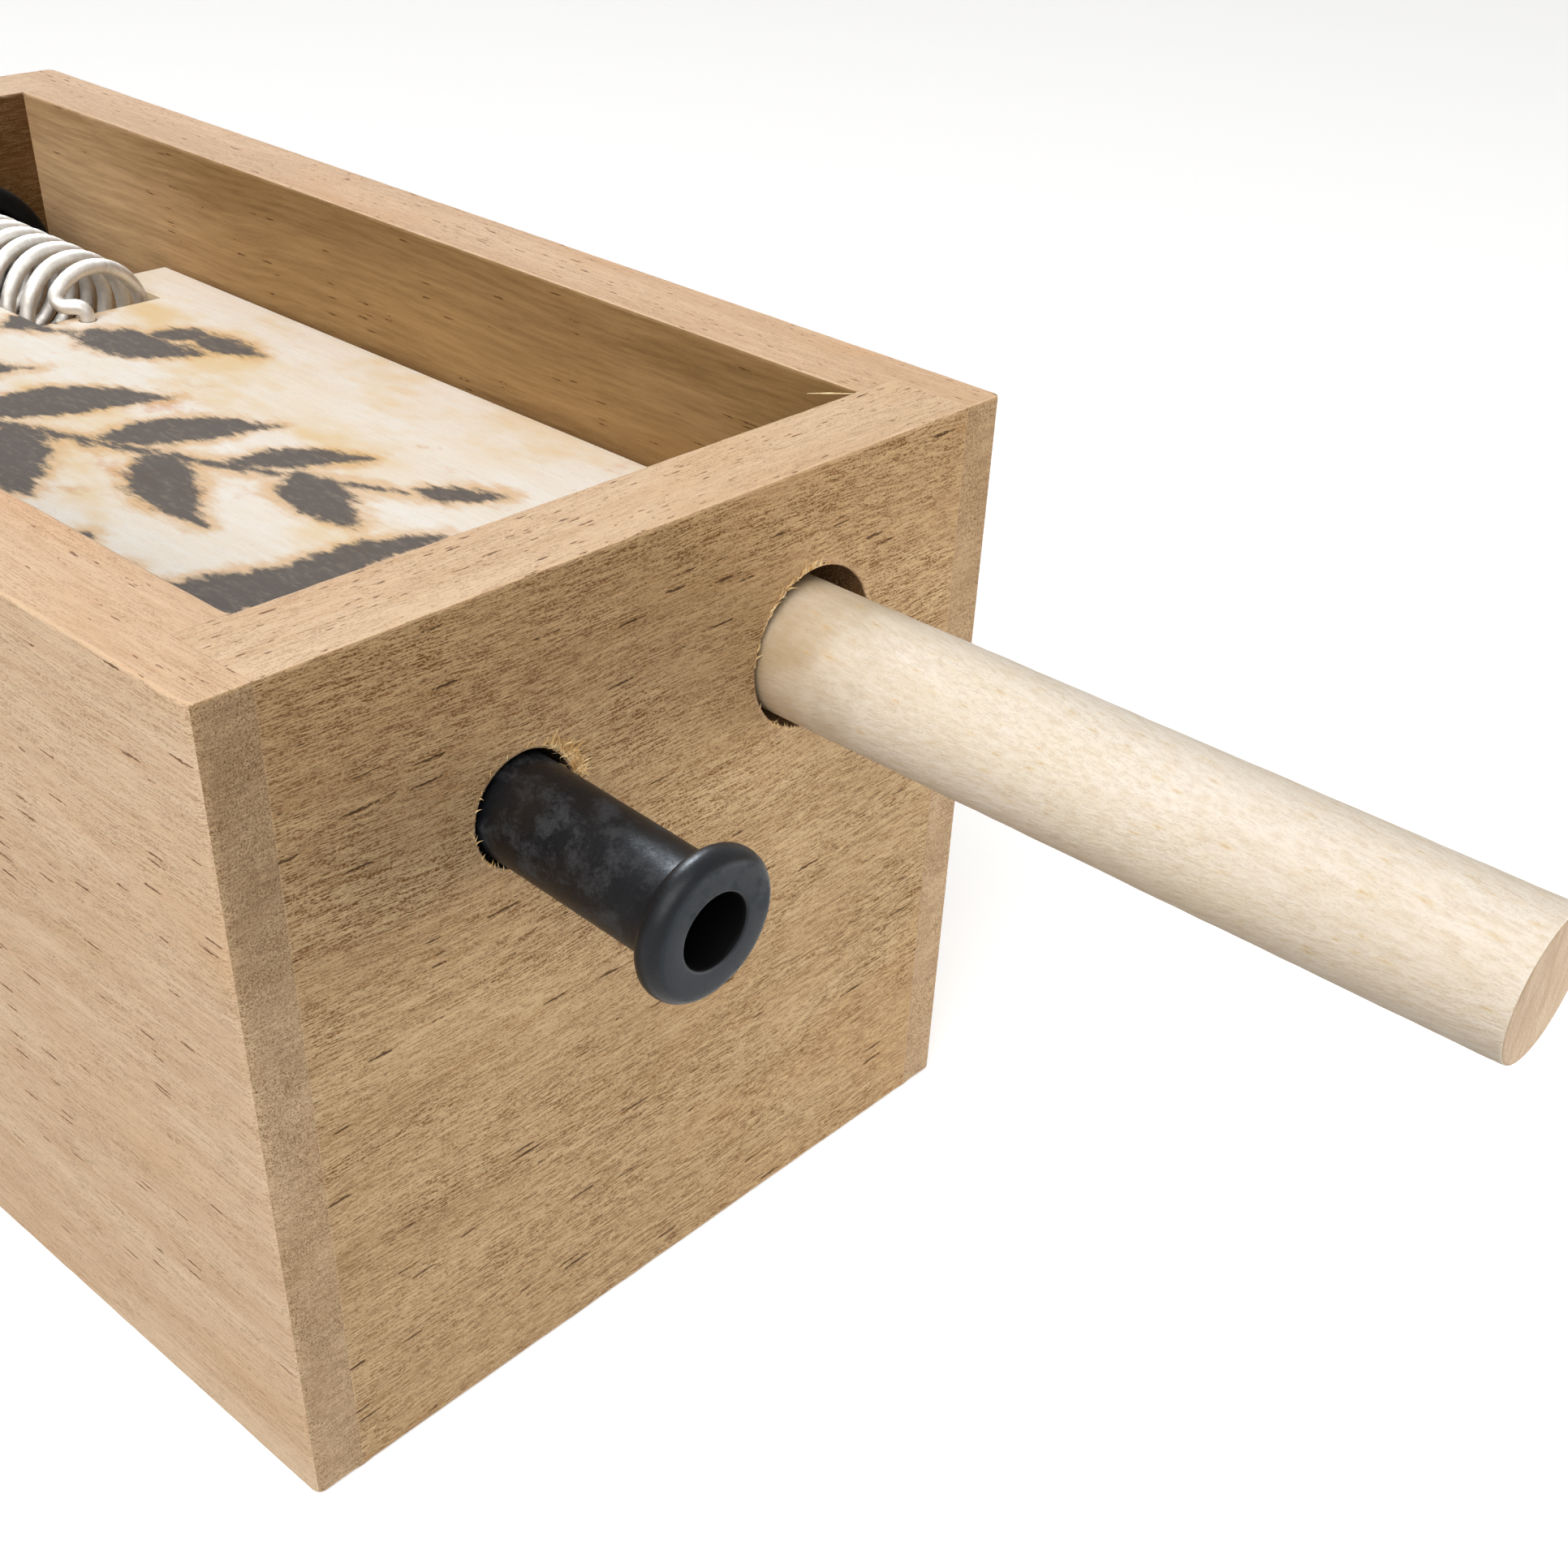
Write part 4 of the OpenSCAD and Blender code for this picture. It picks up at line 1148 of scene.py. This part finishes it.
RING_X, RING_OUTER, RING_INNER, OPENING = -8.6, 6.0, 3.32, math.radians(28)
outward = [(RING_OUTER, OPENING + (2 * math.pi - 2 * OPENING) * k / 60) for k in range(61)]
inward = [(RING_INNER, 2 * math.pi - OPENING * 1.4 - (2 * math.pi - 2.8 * OPENING) * k / 60)
          for k in range(61)]
ring_outline = rounded([(math.cos(a) * r, math.sin(a) * r, 0) for r, a in outward + inward], step=2.0)
clip = slab([ring_outline], RING_X - 0.5, RING_X + 0.5, lambda u, v, loop, face: 0.12,
            lambda u, v, t: on_button(t, u, v))
clip = piece("button_ring_steel", clip, zinc)
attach(clip, "button")
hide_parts("button_ring")


# ---- Latch -----------------------------------------------------------------------------------
# A bell-crank lever of hard wood that turns on a steel pin in a forked wooden bracket. Its upper
# arm stands behind the button and its nose catches the board, lifted by a small coil spring.

lever_face = cedar("lever_face", "dcbd90", "bd9968", "cba26a", turn=(0, 60, 0), share=0.08, fuzz=0.1)
bracket_face = cedar("bracket_face", "cda87c", "aa855a", "b88d5c", turn=across, share=0.12, fuzz=0.1)


def dressed(name, wood, body):
    """A piece whose shape is its CAD node's, with its edges eased."""
    made = bmesh.new()
    made.from_mesh(bpy.data.objects[name].data)
    made.transform(bpy.data.objects[name].matrix_world)
    bmesh.ops.remove_doubles(made, verts=made.verts, dist=1e-6)
    bmesh.ops.dissolve_limit(made, angle_limit=math.radians(1), verts=made.verts, edges=made.edges)
    sharp = [e for e in made.edges if len(e.link_faces) == 2 and e.calc_face_angle() > math.radians(40)]
    bmesh.ops.bevel(made, geom=sharp, offset=0.25 * MM, offset_type="OFFSET", segments=2, profile=0.5,
                    affect="EDGES", clamp_overlap=True)
    bmesh.ops.recalc_face_normals(made, faces=made.faces)
    copy = piece(name + "_wood", made, wood, crease=30)
    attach(copy, body)
    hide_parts(name)


dressed("latch_lever", lever_face, "latch")
dressed("latch_bracket", bracket_face, "box")

PIN_RADIUS = 1.48
pin_low, pin_high = span("latch_pin")
pin_x, pin_z = (pin_low.x + pin_high.x) / 2, (pin_low.z + pin_high.z) / 2
profile = [(pin_low.y, 0, 0), (pin_high.y, 0, 0), (pin_high.y, PIN_RADIUS, 0.3),
           (pin_low.y, PIN_RADIUS, 0.3)]
pin = piece("latch_pin_steel", turned(profile, lambda along, u, v: (pin_x + u, along, pin_z + v), sides=48),
            zinc)
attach(pin, "box")
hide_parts("latch_pin")

LATCH_WIRE, LATCH_TURNS = 0.7, 8
latch_mean = (latch_coil_high.x - latch_coil_low.x) / 2 - LATCH_WIRE / 2
rise_from, rise_to = latch_coil_low.z + LATCH_WIRE / 2, latch_coil_high.z - LATCH_WIRE / 2
latch_lines = [Vector((COIL_HOLE_X + latch_mean * math.cos(a), BUTTON_Y + latch_mean * math.sin(a),
                       rise_from + (rise_to - rise_from) * a / (2 * math.pi * LATCH_TURNS)))
               for a in (2 * math.pi * k / 32 for k in range(32 * LATCH_TURNS + 1))]
latch_coil = grow("latch_spring_coil", guide("latch_coil", [latch_lines]), wound,
                  Thickness=LATCH_WIRE * MM, Sides=12, Material=wire_steel)
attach(latch_coil, "box")
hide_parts("latch_spring")
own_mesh(latch_coil)


# ---- Torn fibres -----------------------------------------------------------------------------
# Fuzz that the drill left standing round both holes in the front panel, and one pale splinter that
# the saw left on the rim over the inner corner.

fibre_wood, tree, shader = finish("fibre_wood")
vector = laid(tree)
colour = tint(tree, rise(tree, cloud(tree, vector, 900, detail=3), 0.35, 0.65), paint("d4ab6e"),
              paint("f8dfae"))
surface(tree, shader, colour, 0.7, 0.2)

fringe, takes, gives = growing("torn_fibres", [
    ("Count", WHOLE, 160), ("Length", FLOAT, 0.0007), ("Thickness", FLOAT, 0.00006), ("Seed", WHOLE, 1),
    ("Material", MATERIAL, None)])
rim_line = node(fringe, "GeometryNodeMeshToCurve", {"Mesh": takes["Geometry"]}).outputs[0]
rooted = node(fringe, "GeometryNodeCurveToPoints", {"Curve": rim_line, "Count": takes["Count"]}).outputs
hair = node(fringe, "GeometryNodeCurveQuadraticBezier", {
    "Resolution": 5, "Start": (0, 0, 0), "Middle": (0.25, 0, 0.55), "End": (0.9, 0, 0.8)}).outputs[0]
slender = calc(fringe, "DIVIDE", takes["Thickness"], takes["Length"])
hair_ring = node(fringe, "GeometryNodeCurvePrimitiveCircle", {
    "Resolution": 5, "Radius": slender}).outputs[0]
tip = calc(fringe, "SUBTRACT", 1.0, node(fringe, "GeometryNodeSplineParameter").outputs["Factor"])
hair_mesh = node(fringe, "GeometryNodeCurveToMesh", {
    "Curve": hair, "Profile Curve": hair_ring, "Scale": tip, "Fill Caps": True}).outputs[0]
turn = node(fringe, "FunctionNodeRandomValue", {"Min": (-0.6, -1.4, -3.14), "Max": (0.6, 0.5, 3.14),
                                                "Seed": takes["Seed"]}, data_type="FLOAT_VECTOR").outputs[0]
uneven = node(fringe, "FunctionNodeRandomValue", {2: 0.3, 3: 1.4, "Seed": takes["Seed"]},
              data_type="FLOAT").outputs[1]
long = times(fringe, takes["Length"], uneven)
stood = node(fringe, "GeometryNodeInstanceOnPoints", {
    "Points": rooted["Points"], "Instance": hair_mesh, "Scale": long,
    "Rotation": node(fringe, "FunctionNodeEulerToRotation", {0: turn}).outputs[0]}).outputs[0]
real = node(fringe, "GeometryNodeRealizeInstances", {"Geometry": stood}).outputs[0]
made_of(fringe, real, takes["Material"], gives[0])


def rim_places(y, z, radius, first, last):
    """Places along a stretch of a hole's rim, from one bearing to another."""
    count = max(2, round(abs(last - first) / 4))
    angles = [math.radians(first + (last - first) * k / count) for k in range(count + 1)]
    return [Vector((END - 0.08, y + radius * math.cos(a), z + radius * math.sin(a))) for a in angles]


for name, lines, count, length, thick, seed in (
        ("button_fringe", [rim_places(BUTTON_Y, BUTTON_HOLE_Z, 4.35, 0, 360)], 200, 0.5, 0.06, 3),
        ("button_fuzz", [rim_places(BUTTON_Y, BUTTON_HOLE_Z, 4.35, -10, 62),
                         rim_places(BUTTON_Y, BUTTON_HOLE_Z, 4.6, -2, 48),
                         rim_places(BUTTON_Y, BUTTON_HOLE_Z, 4.9, 6, 34)], 110, 0.9, 0.09, 5),
        ("rod_fringe", [rim_places(ROD_HOLE_Y, ROD_Z, 6.2, 78, 175),
                        rim_places(ROD_HOLE_Y, ROD_Z, 6.4, 92, 138)], 100, 0.55, 0.06, 7),
        ("rod_fuzz", [rim_places(ROD_HOLE_Y, ROD_Z, 6.3, 205, 380)], 110, 0.45, 0.06, 9)):
    fuzz = grow(name, guide(name, lines), fringe, Count=count, Length=length * MM,
                Thickness=thick * MM, Seed=seed, Material=fibre_wood)
    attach(fuzz, "box")

hair_line = [Vector((INNER_END + 0.3, 27.0, HEIGHT - 0.05)), Vector((INNER_END - 1.2, 25.6, HEIGHT - 0.1)),
             Vector((INNER_END - 2.8, 24.8, HEIGHT - 0.35))]
sliver = grow("rim_splinter", guide("rim_splinter", [hair_line], lambda t: 0.25 + 0.75 * math.sin(
    math.pi * min(t, 1)) ** 0.5), wound, Thickness=0.15 * MM, Sides=7, Material=fibre_wood)
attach(sliver, "box")
